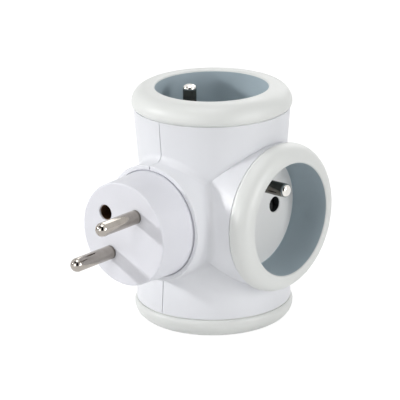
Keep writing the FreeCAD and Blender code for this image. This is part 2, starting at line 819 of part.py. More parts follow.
def plug_earth_contact():
    """Split tube behind the hole in the plug's face, riveted to the earth strip."""
    body = new_body("plug_earth_contact")
    start = "-plug_reach + insert_face_wall"
    end = "-plug_reach + insert_length"
    profile = sketch_on(body, "XY_Plane")
    outline(profile, [
        ("tube_bore", start),
        ("tube_bore + tube_wall", start),
        ("tube_bore + tube_wall", end),
        ("rivet_radius", end),
        ("rivet_radius", f"{end} + strip_thick"),
        ("rivet_radius + rivet_overhang", f"{end} + strip_thick"),
        ("rivet_radius + rivet_overhang", f"{end} + strip_thick + rivet_head_thick"),
        ("0", f"{end} + strip_thick + rivet_head_thick"),
        ("0", f"{end} - tube_base"),
        ("tube_bore", f"{end} - tube_base"),
    ])
    revolve(body, profile)

    slot = sketch_on(body, "XY_Plane")
    rectangle(slot, "-tube_slot_half", "tube_slot_half", start, f"{start} + tube_slot_depth")
    pocket(body, slot, both_ways=True)
    return place(body, x="-earth_across", z="half_height + earth_rise")


def plug_insert():
    """Round moulding that carries the pins: a cup with its face outwards and a boss for each."""
    body = new_body("plug_insert")
    inner = "insert_radius - insert_wall"
    profile = sketch_on(body, "XY_Plane")
    outline(profile, [
        ("0", "-plug_reach"),
        ("insert_face_radius - insert_edge", "-plug_reach"),
        ("insert_face_radius", "-plug_reach + insert_edge", "insert_edge", 1),
        ("insert_radius", "-plug_reach + insert_step"),
        ("insert_radius", "-plug_reach + insert_length"),
        (inner, "-plug_reach + insert_length"),
        (inner, "-plug_reach + insert_face_wall"),
        ("0", "-plug_reach + insert_face_wall"),
    ])
    revolve(body, profile)

    live = [("pin_across", "pin_rise"), ("-pin_across", "-pin_rise")]
    earth = ("-earth_across", "earth_rise")
    bosses = sketch_on(body, "XZ_Plane", out=PLATE_BACK)
    circles(bosses, [(x, z, "pin_root_radius + boss_wall") for x, z in live])
    circles(bosses, [(*earth, "tube_bore + tube_wall + boss_wall")])
    pad(body, bosses, "boss_length", against=True)

    roots = sketch_on(body, "XZ_Plane", out="plug_reach")
    circles(roots, [(x, z, "pin_root_radius + press_gap") for x, z in live])
    circles(roots, [(*earth, "earth_hole_radius")])
    pocket(body, roots)

    tube_seat = sketch_on(body, "XZ_Plane", out=PLATE_BACK)
    circles(tube_seat, [(*earth, "tube_bore + tube_wall + press_gap")])
    pocket(body, tube_seat)
    return place(body)


def build():
    parts = [housing("housing_left", -1), housing("housing_right", 1)]
    parts.append(plug_insert())
    parts.append(plug_pin(
        "plug_pin_upper", "pin_across", "half_height + pin_rise", "half_pitch - strip_half"
    ))
    parts.append(plug_pin(
        "plug_pin_lower", "-pin_across", "half_height - pin_rise", "-half_pitch - strip_half"
    ))
    parts += [plug_earth_contact(), front_strip(), rear_strip(), earth_strip()]
    tab_seat = "-half_height + bus_tab_level + strip_thick"
    web_seat = "-side_reach - bus_web_face"
    for where in SOCKETS:
        parts += [socket_front(where), earth_pin(where), shutter_tray(where)]
        parts += [shutter(where), shutter_spring(where)]
        end = web_seat if where == "side" else tab_seat
        rows = ("half_pitch", "-half_pitch") if where == "bottom" else ("-half_pitch", "half_pitch")
        # XZ_Plane faces -Y, and the bottom socket is turned over
        parts.append(contact_sleeve(f"rear_sleeve_{where}", where, rows[0], end))
        parts.append(contact_sleeve(f"front_sleeve_{where}", where, rows[1], end))
    return parts


def check(parts):
    """Stop on a failed feature or a bad shape."""
    doc.recompute()
    for item in doc.Objects:
        if "Invalid" in item.State or "Error" in item.State:
            raise RuntimeError(f"{item.Name} failed: {item.State}")
    for body in parts:
        shape = body.Shape
        if shape.isNull() or not shape.isValid() or len(shape.Solids) != 1:
            raise RuntimeError(f"{body.Label} is not one valid solid")


def export(parts):
    os.makedirs("parts", exist_ok=True)
    for body in parts:
        body.Shape.exportStep(os.path.join("parts", f"{body.Label}.step"))
        print(f"{body.Label}: {body.Shape.Volume:.1f} mm3")


PARTS = build()
check(PARTS)
export(PARTS)
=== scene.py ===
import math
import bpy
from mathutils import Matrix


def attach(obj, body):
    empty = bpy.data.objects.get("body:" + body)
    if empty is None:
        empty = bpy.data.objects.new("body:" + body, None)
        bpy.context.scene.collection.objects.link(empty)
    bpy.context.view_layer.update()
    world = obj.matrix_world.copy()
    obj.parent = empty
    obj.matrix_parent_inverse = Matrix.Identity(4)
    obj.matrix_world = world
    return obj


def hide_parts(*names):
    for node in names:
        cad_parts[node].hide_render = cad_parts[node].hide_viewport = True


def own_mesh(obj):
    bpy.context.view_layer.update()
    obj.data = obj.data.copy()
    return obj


bl_info = {
    "name": "Multi socket adapter",
    "version": (1, 0, 0),
    "blender": (4, 5, 0),
    "location": "3D View > Sidebar > Adapter",
    "description": "Moulded shells, turned pins and finishes for the three-way adapter",
    "category": "Object",
}

import bmesh
import bpy
from bpy.props import FloatProperty, FloatVectorProperty, IntProperty, PointerProperty
from bpy.types import Operator, Panel, PropertyGroup
from mathutils import Matrix, Vector

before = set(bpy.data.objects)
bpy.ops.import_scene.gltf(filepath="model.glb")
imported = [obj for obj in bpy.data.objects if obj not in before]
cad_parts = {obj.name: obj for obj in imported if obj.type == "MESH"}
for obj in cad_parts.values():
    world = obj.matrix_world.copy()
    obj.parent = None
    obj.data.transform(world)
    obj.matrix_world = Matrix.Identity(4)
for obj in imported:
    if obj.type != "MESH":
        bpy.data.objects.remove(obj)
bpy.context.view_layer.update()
MM = 0.001
BODY = "adapter"
SIDES = ("top", "bottom", "side")

# Flat faces round the smaller turned pieces and cuts
INSIDE_STEPS = 128
PIN_STEPS = 96
HOLE_STEPS = 72
BORE_STEPS = 64
SLEEVE_STEPS = 56

# Plug face to the back of the insert's bosses, where the flanges of the live pins stand
BOSS_DEPTH = 10 * MM


def length(name, description, millimetres):
    return FloatProperty(
        name=name, description=description, default=millimetres * MM, min=0.0, unit="LENGTH", precision=5
    )


def angle(name, description, degrees):
    return FloatProperty(name=name, description=description, default=math.radians(degrees), subtype="ANGLE")


def watts(name, description, power):
    return FloatProperty(name=name, description=description, default=power, min=0.0, unit="POWER")


def colour(name, description, red, green, blue):
    return FloatVectorProperty(
        name=name, description=description, subtype="COLOR", size=3, min=0.0, max=1.0,
        default=(red, green, blue),
    )


class HousingSizes(PropertyGroup):
    half_height: length("Half height", "Plug axis to the crest of an end ring", 41.6)
    end_radius: length("End radius", "Barrel under its end rings", 27.15)
    draft: angle("Draft", "Taper of the barrel towards its waist", 4.3)
    waist_half: length("Waist", "Half the height of the rounded waist", 13.0)
    wall: length("Wall", "Thickness of the moulded shell", 2.0)
    edge: length("Edge", "Break on the ends of the barrel and of the neck", 0.2)
    spigot_seat: length("Spigot seat", "Depth of the straight bore that takes a socket's spigot", 3.4)
    neck_radius: length("Neck radius", "Side neck where its ring sits", 25.25)
    neck_taper: length("Neck taper", "How much narrower the neck is at the barrel axis", 0.65)
    neck_reach: length("Neck reach", "Barrel axis to the seat of the side ring", 28.0)
    collar_radius: length("Collar radius", "Round collar of the plug", 20.4)
    collar_front: length("Collar front", "Barrel axis to the collar's lip", 32.3)
    collar_fillet: length("Collar fillet", "Round at the foot of the collar", 2.5)
    lip_round: length("Lip round", "Round on the collar's lip", 0.4)
    seat_radius: length("Insert seat", "Bore that takes the plug insert", 18.8)
    seat_depth: length("Insert seat depth", "Depth of that bore", 9.1)
    ledge_wall: length("Ledge wall", "Wall of the ledge that the insert sits in", 1.4)
    way_radius: length("Way through", "Opening from the ledge into the barrel", 17.0)
    seam_shift: length("Seam shift", "Seam plane to the left of the barrel axis", 0.7)
    seam_gap: length("Seam gap", "Gap between the two halves", 0.16)
    seam_groove: length("Seam groove", "Half the width of the groove along the seam", 0.2)
    notch_depth: length("Notch depth", "Depth of the seam's notch in the collar's lip", 1.3)
    round_steps: IntProperty(
        name="Segments", description="Flat faces round the barrel", default=224, min=24, max=720
    )


class SocketSizes(PropertyGroup):
    recess_radius: length("Recess radius", "Well that takes a plug", 19.7)
    recess_depth: length("Recess depth", "Crest of the ring to the floor", 15.0)
    cup_wall: length("Cup wall", "Wall of the well", 1.6)
    floor_wall: length("Floor", "Thickness of the floor", 2.0)
    ring_height: length("Ring height", "Crest of the ring to its seat", 7.1)
    ring_bulge: length("Ring bulge", "How far the ring stands out from the housing", 0.7)
    ring_round: length("Ring round", "Round from the ring's crest to its side", 5.4)
    mouth_round: length("Mouth round", "Round into the well", 0.6)
    floor_round: length("Floor round", "Round from the well's wall to its floor", 0.25)
    groove: length("Groove", "Height of the shadow line under the ring", 0.3)
    groove_depth: length("Groove depth", "Depth of that line", 0.5)
    spigot_length: length("Spigot length", "How far the spigot goes into the housing", 3.0)
    spigot_wall: length("Spigot wall", "Wall of the spigot", 1.5)
    crest_wall: length("Crest wall", "Thickness over the cored channel", 2.2)
    side_reach: length("Side reach", "Barrel axis to the crest of the side ring", 35.1)
    hole_radius: length("Contact hole", "Radius of a contact hole", 2.75)
    hole_lead: length("Hole lead-in", "Round at the mouth of a contact hole", 0.35)
    pitch: length("Pitch", "Between the two contact holes", 19.0)
    earth_offset: length("Earth offset", "Middle of the socket to the earth pin", 10.0)
    earth_radius: length("Earth pin", "Radius of the earth pin", 2.4)
    earth_tip: length("Earth pin's tip", "Crest of the ring down to the pin's tip", 1.5)
    earth_seat: length("Earth pin's seat", "Radius of the pin where it passes the floor", 2.2)


class PlugSizes(PropertyGroup):
    face: length("Plug face", "Barrel axis to the plug face", 47.2)
    face_radius: length("Face radius", "Edge of the plug face", 18.0)
    insert_radius: length("Insert radius", "Insert at the collar's lip", 18.5)
    insert_length: length("Insert length", "Face to the insert's inner end", 24.0)
    insert_wall: length("Insert wall", "Wall of the insert", 2.0)
    face_wall: length("Face wall", "Thickness behind the face", 4.0)
    edge_round: length("Edge round", "Round on the edge of the face", 0.55)
    rib: length("Rib", "How far the hidden rib round the insert stands out", 0.23)
    pin_radius: length("Pin radius", "Radius of a live pin", 2.4)
    pin_length: length("Pin length", "How far a live pin stands out", 19.0)
    pin_root: length("Pin root", "Radius of the pin inside the insert", 2.1)
    pin_angle: angle("Pin line", "Angle of the line through the live pins", 52.0)
    earth_hole: length("Earth hole", "Radius of the hole in the face", 2.65)
    tube_bore: length("Tube bore", "Radius inside the earth contact", 2.5)
    tube_radius: length("Tube radius", "Outside of the earth contact", 3.2)


class MechanismSizes(PropertyGroup):
    spring_radius: length("Spring radius", "Middle of the spring's wire", 1.25)
    wire_radius: length("Wire radius", "Half the spring's wire", 0.2)
    spring_length: length("Spring length", "Length with the shutter closed", 9.0)
    spring_start: length("Spring start", "Middle of the socket to the spring", 3.3)
    spring_play: length("Spring play", "Gap at each end of the spring", 0.05)
    tray_depth: length("Tray depth", "Height of the shutter's tray", 4.0)
    tray_gap: length("Tray gap", "Between the spring and the tray's floor", 0.15)
    turns: FloatProperty(name="Turns", description="Turns of a shutter spring", default=6.0, min=1.0)
    sleeve_bore: length("Sleeve bore", "Radius inside a contact sleeve", 2.45)
    sleeve_wall: length("Sleeve wall", "Wall of a contact sleeve", 0.75)
    sleeve_drop: length("Sleeve drop", "Underside of the floor to a sleeve's mouth", 5.5)
    slot: length("Slot", "Width of the slot that splits a sleeve", 0.8)
    rivet_head: length("Rivet head", "Height of a riveted end", 0.8)
    rivet_step: length("Rivet step", "How much wider it is than its shank", 0.7)
    contact_shank: length("Contact shank", "Radius of the riveted shank of a contact", 1.2)
    flange: length("Flange", "Thickness of the flange on a pin", 1.2)


class Finishes(PropertyGroup):
    housing: colour("Housing", "Cool white of the housing halves", 0.80, 0.81, 0.84)
    sockets: colour("Rings", "Warm white of the socket rings", 0.775, 0.79, 0.77)
    # Painted shade: the wells' sides are the rings' white moulding, made a darker blue-grey for the shade
    # inside the wells
    walls: colour("Well walls", "Grey of the walls inside the rings", 0.43, 0.515, 0.565)
    floors: colour("Well floors", "Pale grey of the floors inside the rings", 0.80, 0.80, 0.79)
    # Painted shade: the bores of the contact holes, the same white moulding, are made near black for the
    # shade in them
    holes: colour("Contact holes", "Painted shade in the contact holes", 0.03, 0.033, 0.035)
    insert: colour("Insert", "White of the plug insert", 0.795, 0.80, 0.85)
    nickel: colour("Nickel", "Plating of the live pins", 0.40, 0.37, 0.335)
    # Painted highlight: the earth pins' tips, twice as bright as the live pins' plating
    painted_highlight_nickel: colour("Nickel with painted highlight", "Earth pin's tip, bright from plugging", 0.80, 0.78, 0.74)
    # Painted shade and dark reflection: a dark nickel for the earth pins' shanks and the live pins' roots
    painted_shade_nickel: colour("Nickel with painted shade", "Earth pin's shank, dull from handling", 0.13, 0.12, 0.105)
    brass: colour("Brass", "Bare brass of the contacts", 0.80, 0.60, 0.28)
    # Painted shade: the plug's earth contact is brass darkened for the shade inside the earth hole
    tube: colour("Earth tube", "Brass of the plug's earth contact, darkened as painted shade", 0.30, 0.19, 0.12)
    tray: colour("Tray", "Grey of the shutter trays", 0.045, 0.048, 0.05)
    shutter: colour("Shutter", "Near black of the shutters", 0.008, 0.009, 0.010)
    steel: colour("Steel", "Spring wire", 0.55, 0.56, 0.58)


class StageSettings(PropertyGroup):
    left_power: watts("Left lamp", "Small hard lamp", 3.5)
    upper_power: watts("Upper left lamp", "High soft lamp", 0.6)
    front_power: watts("Front lamp", "Tall soft lamp", 2.76)
    right_power: watts("Right lamp", "Tall soft lamp", 2.8)
    low_power: watts("Low right lamp", "Low soft lamp", 1.18)
    rear_power: watts("Rear lamp", "High soft lamp", 2.4)
    top_power: watts("Top lamp", "Wide soft lamp", 2.8)
    room: FloatProperty(name="Room", description="Light from all around", default=0.03, min=0.0)
    shadow: FloatProperty(
        name="Shadow", description="How strongly the floor shows a shadow", default=0.25, min=0.0
    )


def sizes(name):
    return getattr(bpy.context.scene, f"adapter_{name}")


# Profiles


def arc(start, end, share):
    """The vector that share of the way round from start to end."""
    turn = start.angle(end)
    return (start * math.sin((1 - share) * turn) + end * math.sin(share * turn)) / math.sin(turn)


def rounded(corners, steps=8):
    """Points along a bent line. A corner is (x, y), or (x, y, radius) where it is rounded."""
    line = []
    for index, corner in enumerate(corners):
        here = Vector(corner[:2])
        if len(corner) == 2:
            line.append(here)
            continue
        before = (Vector(corners[index - 1][:2]) - here).normalized()
        after = (Vector(corners[(index + 1) % len(corners)][:2]) - here).normalized()
        half = before.angle(after) / 2
        centre = here + (before + after).normalized() * corner[2] / math.sin(half)
        start = here + before * corner[2] / math.tan(half) - centre
        end = here + after * corner[2] / math.tan(half) - centre
        line += [centre + arc(start, end, step / steps) for step in range(steps + 1)]
    return line


def divided(line, longest):
    """The same line with no run longer than that."""
    line = [Vector(point) for point in line]
    points = [line[0]]
    for start, end in zip(line, line[1:]):
        count = max(1, math.ceil((end - start).length / longest))
        points += [start.lerp(end, step / count) for step in range(1, count + 1)]
    return points


def rod(radius, near, far):
    """Profile of a plain rod."""
    return [(0, near), (radius, near), (radius, far), (0, far)]


def drill(radius, lead, reach):
    """Profile of a drill with a rounded lead-in at level 0, down to -reach."""
    steps, sweep = 6, math.radians(84)
    line = [(0, -reach), (radius, -reach), (radius, -lead)]
    for step in range(1, steps + 1):
        turn = sweep * step / steps
        line.append((radius + lead * (1 - math.cos(turn)), -lead + lead * math.sin(turn)))
    return [*line, (radius + lead, lead), (0, lead)]


def rivet(shank, start, strip, under):
    """Corners of a riveted end: a shank from start through its strip, and the head on the far side."""
    m = sizes("mechanism")
    head, end = shank + m.rivet_step, strip - m.rivet_head
    return [(shank, start), (shank, strip), (head, strip, under), (head, end, 0.5 * MM), (0, end)]


def pin_tail(neck, flange, level, shank, strip):
    """A pin's inner end: a flange below level, and a shank riveted through its strip."""
    below = level - sizes("mechanism").flange
    edge = 0.15 * MM
    return rounded([
        (neck, level), (flange, level, edge), (flange, below, edge), *rivet(shank, below, strip, 0.2 * MM),
    ], 5)[1:]


def barrel_radius(height):
    """Radius of the barrel at a height above the plug axis."""
    s = sizes("housing")
    slope = math.tan(s.draft)
    waist = s.end_radius - (s.half_height - sizes("sockets").ring_height - s.waist_half) * slope
    if abs(height) >= s.waist_half:
        return waist + (abs(height) - s.waist_half) * slope
    bend = s.waist_half / math.sin(s.draft)
    return waist - math.sqrt(bend**2 - height**2) + math.sqrt(bend**2 - s.waist_half**2)


def barrel_slope(height):
    s = sizes("housing")
    if abs(height) >= s.waist_half:
        return math.copysign(math.tan(s.draft), height)
    bend = s.waist_half / math.sin(s.draft)
    return height / math.sqrt(bend**2 - height**2)


def neck_radius_at(reach):
    s = sizes("housing")
    return s.neck_radius - s.neck_taper * (1 - reach / s.neck_reach)


def neck_slope(reach):
    """The same all along the neck."""
    s = sizes("housing")
    return s.neck_taper / s.neck_reach


# Node trees


def add_node(tree, kind, feeds=None, **settings):
    """Adds a node. feeds gives its inputs, by name or number, each a value or another node's output."""
    node = tree.nodes.new(kind)
    for name, value in settings.items():
        setattr(node, name, value)
    for key, value in (feeds or {}).items():
        if isinstance(value, bpy.types.NodeSocket):
            tree.links.new(value, node.inputs[key])
        else:
            node.inputs[key].default_value = value
    return node


def number(tree, operation, *values, clamp=False):
    feeds = dict(enumerate(values))
    return add_node(tree, "ShaderNodeMath", feeds, operation=operation, use_clamp=clamp).outputs[0]


def whole(tree, operation, first, second):
    return add_node(tree, "FunctionNodeIntegerMath", {0: first, 1: second}, operation=operation).outputs[0]


def new_tree(name, inputs):
    """A geometry tree with a material and the named inputs, each with its default, or None for geometry."""
    tree = bpy.data.node_groups.new(name, "GeometryNodeTree")
    kinds = {type(None): "Geometry", int: "Int", float: "Float"}
    for label, default in inputs.items():
        kind = f"NodeSocket{kinds[type(default)]}"
        socket = tree.interface.new_socket(name=label, in_out="INPUT", socket_type=kind)
        if default is not None:
            socket.default_value = default
    tree.interface.new_socket(name="Material", in_out="INPUT", socket_type="NodeSocketMaterial")
    tree.interface.new_socket(name="Geometry", in_out="OUTPUT", socket_type="NodeSocketGeometry")
    return tree, add_node(tree, "NodeGroupInput").outputs


def end_tree(tree, made, given):
    """Smooth faces, real geometry and the material, then out of the tree."""
    smooth = add_node(tree, "GeometryNodeSetShadeSmooth", {"Geometry": made})
    realize = add_node(tree, "GeometryNodeRealizeInstances", {"Geometry": smooth.outputs["Geometry"]})
    finish = add_node(tree, "GeometryNodeSetMaterial", {
        "Geometry": realize.outputs["Geometry"], "Material": given["Material"],
    })
    add_node(tree, "NodeGroupOutput", {"Geometry": finish.outputs["Geometry"]})
    return tree


def turned_tree(name):
    """Turns a profile drawn in XZ round Z, as a lathe does."""
    tree, given = new_tree(name, {"Profile": None, "Segments": 96})
    profile, segments = given["Profile"], given["Segments"]
    size = add_node(tree, "GeometryNodeAttributeDomainSize", {"Geometry": profile}, component="CURVE")
    rows = size.outputs["Point Count"]
    columns = whole(tree, "ADD", segments, 1)
    grid = add_node(tree, "GeometryNodeMeshGrid", {"Vertices X": columns, "Vertices Y": rows})
    index = add_node(tree, "GeometryNodeInputIndex").outputs[0]
    row = whole(tree, "MODULO", index, rows)
    column = whole(tree, "DIVIDE_FLOOR", index, rows)
    place = add_node(tree, "GeometryNodeInputPosition").outputs[0]
    point = add_node(
        tree, "GeometryNodeSampleIndex", {"Geometry": profile, "Value": place, "Index": row},
        data_type="FLOAT_VECTOR", domain="POINT",
    )
    around = number(tree, "MULTIPLY", number(tree, "DIVIDE", column, segments), math.tau)
    turn = add_node(
        tree, "ShaderNodeVectorRotate", {"Vector": point.outputs["Value"], "Angle": around},
        rotation_type="Z_AXIS",
    )
    shape = add_node(tree, "GeometryNodeSetPosition", {
        "Geometry": grid.outputs["Mesh"], "Position": turn.outputs[0],
    })
    merge = add_node(tree, "GeometryNodeMergeByDistance", {
        "Geometry": shape.outputs["Geometry"], "Distance": SAME_PLACE,
    })
    return end_tree(tree, merge.outputs["Geometry"], given)


def swept(tree, path, steps, radius):
    """Sweeps a section of that many sides along a path, with its ends closed."""
    section = add_node(tree, "GeometryNodeCurvePrimitiveCircle", {"Resolution": steps, "Radius": radius})
    sweep = add_node(tree, "GeometryNodeCurveToMesh", {
        "Curve": path, "Profile Curve": section.outputs["Curve"], "Fill Caps": True,
    })
    return sweep.outputs["Mesh"]


def groove_tree(name):
    """Sweeps a diamond section along a path, to cut a small V groove on a surface."""
    tree, given = new_tree(name, {"Path": None, "Half width": 0.0002})
    return end_tree(tree, swept(tree, given["Path"], 4, given["Half width"]), given)


def coil_tree(name):
    """A compression spring along Z, from zero up."""
    tree, given = new_tree(name, {
        "Geometry": None, "Turns": 6.0, "Radius": 0.00125, "Wire radius": 0.0002, "Length": 0.009,
        "Steps a turn": 40,
    })
    spiral = add_node(tree, "GeometryNodeCurveSpiral", {
        "Resolution": given["Steps a turn"], "Rotations": given["Turns"], "Start Radius": given["Radius"],
        "End Radius": given["Radius"], "Height": given["Length"],
    })
    return end_tree(tree, swept(tree, spiral.outputs["Curve"], 12, given["Wire radius"]), given)


def run_tree(name, make, data, **values):
    """The plain mesh that a tree makes of some curve or mesh data."""
    carrier = bpy.data.objects.new("carrier", data)
    bpy.context.scene.collection.objects.link(carrier)
    modifier = carrier.modifiers.new("tree", "NODES")
    modifier.node_group = bpy.data.node_groups.get(name) or make(name)
    for item in modifier.node_group.interface.items_tree:
        key = item.name.lower().replace(" ", "_")
        if item.in_out == "INPUT" and key in values:
            modifier[item.identifier] = values[key]
    mesh = evaluated(carrier)
    bpy.data.objects.remove(carrier)
    return mesh


def evaluated(item):
    graph = bpy.context.evaluated_depsgraph_get()
    return bpy.data.meshes.new_from_object(item.evaluated_get(graph))


def poly_curve(points):
    curve = bpy.data.curves.new("line", "CURVE")
    curve.dimensions = "3D"
    spline = curve.splines.new("POLY")
    spline.points.add(len(points) - 1)
    for point, place in zip(spline.points, points):
        point.co = (*place, 1.0)
    return curve


# Solids

# Points nearer than this are one point
SAME_PLACE = 2e-7
STAND = {
    "up": Matrix.Identity(4),
    "down": Matrix.Rotation(math.pi, 4, "X"),
    "right": Matrix.Rotation(math.pi / 2, 4, "Y"),
    "front": Matrix.Rotation(math.pi / 2, 4, "X"),
}


def turned(line, segments, stand="up", middle=(0, 0, 0)):
    """A turned solid from a profile of (radius, level) points, closed if its ends aren't on the axis."""
    points = [(max(point[0], 0.0), 0.0, point[1]) for point in line]
    if points[0][0] > SAME_PLACE or points[-1][0] > SAME_PLACE:
        points.append(points[0])
    mesh = run_tree("Turned piece", turned_tree, poly_curve(points), segments=segments)
    mesh.transform(Matrix.Translation(middle) @ STAND[stand])
    return point_outwards(mesh)


def point_outwards(mesh):
    work = bmesh.new()
    work.from_mesh(mesh)
    bmesh.ops.remove_doubles(work, verts=work.verts, dist=SAME_PLACE)
    bmesh.ops.dissolve_degenerate(work, edges=work.edges, dist=1e-8)
    bmesh.ops.recalc_face_normals(work, faces=work.faces)
    return written(work, mesh)


def written(work, mesh):
    """Writes a bmesh into a mesh and lets go of it."""
    work.to_mesh(mesh)
    work.free()
    return mesh


def block(low, high):
    """A plain box, to cut with."""
    work = bmesh.new()
    bmesh.ops.create_cube(work, size=1.0)
    mesh = written(work, bpy.data.meshes.new("block"))
    low, high = Vector(low), Vector(high)
    mesh.transform(Matrix.Translation((low + high) / 2) @ Matrix.Diagonal((*(high - low), 1.0)))
    return mesh


def skinned(columns, closed):
    """A closed solid from columns of points. closed joins the last column to the first."""
    work = bmesh.new()
    rows = [[work.verts.new(point) for point in column] for column in columns]
    count = len(rows[0])
    for index in range(len(rows) if closed else len(rows) - 1):
        here, after = rows[index], rows[(index + 1) % len(rows)]
        for step in range(count if not closed else count - 1):
            other = (step + 1) % count
            work.faces.new((here[step], after[step], after[other], here[other]))
    if not closed:
        work.faces.new(rows[0])
        work.faces.new(rows[-1])
    return point_outwards(written(work, bpy.data.meshes.new("skinned")))


def combined(mesh, other, operation="DIFFERENCE"):
    """Two closed meshes joined, or the second cut out of the first. Stops if nothing is left."""
    pair = []
    for data in (mesh, other):
        item = bpy.data.objects.new("solid", data)
        bpy.context.scene.collection.objects.link(item)
        pair.append(item)
    modifier = pair[0].modifiers.new("cut", "BOOLEAN")
    modifier.operation = operation
    modifier.solver = "MANIFOLD"
    modifier.object = pair[1]
    made = evaluated(pair[0])
    for item in pair:
        bpy.data.objects.remove(item)
    if not made.polygons:
        raise RuntimeError(f"nothing is left of {mesh.name} after {operation}")
    return made


def finished(name, mesh, material, nodes, crease=30.0, painted_shade_and_floors=()):
    """The finished piece: one smooth-shaded object that rides on the adapter and stands for its nodes.
    painted_shade_and_floors are further finishes, each with the faces, by index, that have it; in a well
    they are the painted shade on its sides and in its holes, and the finish of its floor."""
    mesh.name = name
    mesh.materials.clear()
    mesh.materials.append(material)
    finish = [0] * len(mesh.polygons)
    for second, faces in painted_shade_and_floors:
        mesh.materials.append(second)
        for index in faces:
            finish[index] = len(mesh.materials) - 1
    mesh.polygons.foreach_set("use_smooth", [True] * len(mesh.polygons))
    mesh.polygons.foreach_set("material_index", finish)
    mesh.set_sharp_from_angle(angle=math.radians(crease))
    piece = bpy.data.objects.new(name, mesh)
    bpy.context.scene.collection.objects.link(piece)
    weigh = piece.modifiers.new("normals", "WEIGHTED_NORMAL")
    weigh.keep_sharp = True
    piece.data = evaluated(piece)
    piece.data.name = name
    piece.modifiers.clear()
    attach(piece, BODY)
    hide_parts(*nodes)
    return piece


def paint(node, material):
    """Gives a CAD node its finish."""
    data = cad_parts[node].data
    data.materials.clear()
    data.materials.append(material)


# Finishes

# The colour sockets of a Mix node, which share their names with others
MIX_A, MIX_B, MIX_RESULT = 6, 7, 2


def new_material(name):
    material = bpy.data.materials.new(name)
    material.use_nodes = True
    tree = material.node_tree
    return material, tree, tree.nodes["Principled BSDF"]


def noise(tree, scale, stretch=(1, 1, 1), **inputs):
    """Noise on Object coordinates. scale is per metre."""
    place = add_node(tree, "ShaderNodeTexCoord")
    mapping = add_node(tree, "ShaderNodeMapping", {"Scale": stretch, "Vector": place.outputs["Object"]})
    feeds = {key.title(): value for key, value in inputs.items()}
    feeds.update({"Vector": mapping.outputs["Vector"], "Scale": scale})
    return add_node(tree, "ShaderNodeTexNoise", feeds).outputs[0]


def spread(tree, value, low, high, start=0.0, end=1.0):
    """Maps a value from start..end to low..high."""
    feeds = {"Value": value, "From Min": start, "From Max": end, "To Min": low, "To Max": high}
    return add_node(tree, "ShaderNodeMapRange", feeds).outputs["Result"]


def mixed(tree, share, first, second):
    """Between two colours, each a plain one or another node's output."""
    feeds = {"Factor": share, MIX_A: first, MIX_B: second}
    return add_node(tree, "ShaderNodeMix", feeds, data_type="RGBA").outputs[MIX_RESULT]


def shade(base, share):
    return (*[max(0.0, min(1.0, part * share)) for part in base], 1.0)


def dress(tree, shader, colours, rough, bumps):
    """Feeds the shader. bumps are stacked, each (height, strength, depth in metres)."""
    tree.links.new(colours, shader.inputs["Base Color"])
    tree.links.new(rough, shader.inputs["Roughness"])
    normal = None
    for height, strength, depth in bumps:
        feeds = {"Strength": strength, "Distance": depth, "Height": height}
        if normal:
            feeds["Normal"] = normal
        normal = add_node(tree, "ShaderNodeBump", feeds).outputs["Normal"]
    tree.links.new(normal, shader.inputs["Normal"])


def moulded(name, base, roughness, gloss):
    """Moulded plastic: slight flow marks in the colour, a fine spark-eroded skin and handling smears."""
    material, tree, shader = new_material(name)
    flow = noise(tree, 38.0, (1, 1, 0.45), detail=3.0, roughness=0.55, distortion=0.8)
    specks = noise(tree, 900.0, detail=2.0)
    both = number(tree, "MULTIPLY_ADD", specks, 0.15, flow)
    colours = mixed(tree, spread(tree, both, 0.0, 1.0, 0.35, 0.8), shade(base, 0.975), shade(base, 1.015))
    smears = noise(tree, 120.0, (1, 0.6, 1), detail=4.0, roughness=0.6, distortion=1.5)
    rough = spread(tree, smears, roughness - 0.06, roughness + 0.09, 0.3, 0.7)
    skin = noise(tree, 5200.0, detail=2.0, roughness=0.6)
    waves = noise(tree, 70.0, detail=1.0)
    dress(tree, shader, colours, rough, [(waves, 0.10, 0.0006), (skin, 0.12, 0.00002)])
    shader.inputs["IOR"].default_value = 1.53
    shader.inputs["Specular IOR Level"].default_value = gloss
    return material


def plated(name, base, painted_shade_nickel, along, shade_edges):
    """Plating over drawn metal: faint rings round its axis and plugging scratches along it. It has painted
    shade, a darker copy of the plating, up to the first distance in shade_edges, from the barrel axis or
    the plug axis, and base past the second."""
    roughness = 0.1
    material, tree, shader = new_material(name)
    shader.inputs["Metallic"].default_value = 1.0
    rings_stretch = {"x": (1, 0.02, 0.02), "y": (0.02, 1, 0.02), "z": (0.02, 0.02, 1)}[along]
    marks_stretch = {"x": (0.04, 1, 1), "y": (1, 0.04, 1), "z": (1, 1, 0.04)}[along]
    rings = noise(tree, 7000.0, rings_stretch, detail=2.0)
    marks = noise(tree, 3200.0, marks_stretch, detail=3.0, roughness=0.7)
    cloud = noise(tree, 220.0, detail=3.0)
    clean = mixed(tree, spread(tree, cloud, 0.0, 1.0, 0.35, 0.65), shade(base, 0.92), shade(base, 1.06))
    # Painted shade and dark reflection: a darker copy of the plating, mottled by the cloud
    painted_shade_colours = mixed(tree, spread(tree, cloud, 0.0, 1.0, 0.3, 0.7), shade(painted_shade_nickel, 0.75), shade(painted_shade_nickel, 1.3))
    place = add_node(tree, "ShaderNodeTexCoord")
    apart = add_node(tree, "ShaderNodeSeparateXYZ", {0: place.outputs["Object"]})
    middle = sizes("housing").half_height if along == "z" else 0.0
    level = number(tree, "SUBTRACT", apart.outputs[along.upper()], middle)
    # 0 where the painted shade is full, 1 where the plain plating starts
    unshaded_share = spread(tree, number(tree, "ABSOLUTE", level), 0.0, 1.0, *shade_edges)
    rough = spread(tree, marks, roughness - 0.05, roughness + 0.12, 0.35, 0.75)
    colours = mixed(tree, unshaded_share, painted_shade_colours, clean)
    dress(tree, shader, colours, rough, [(rings, 0.25, 0.000012), (marks, 0.2, 0.00001)])
    return material


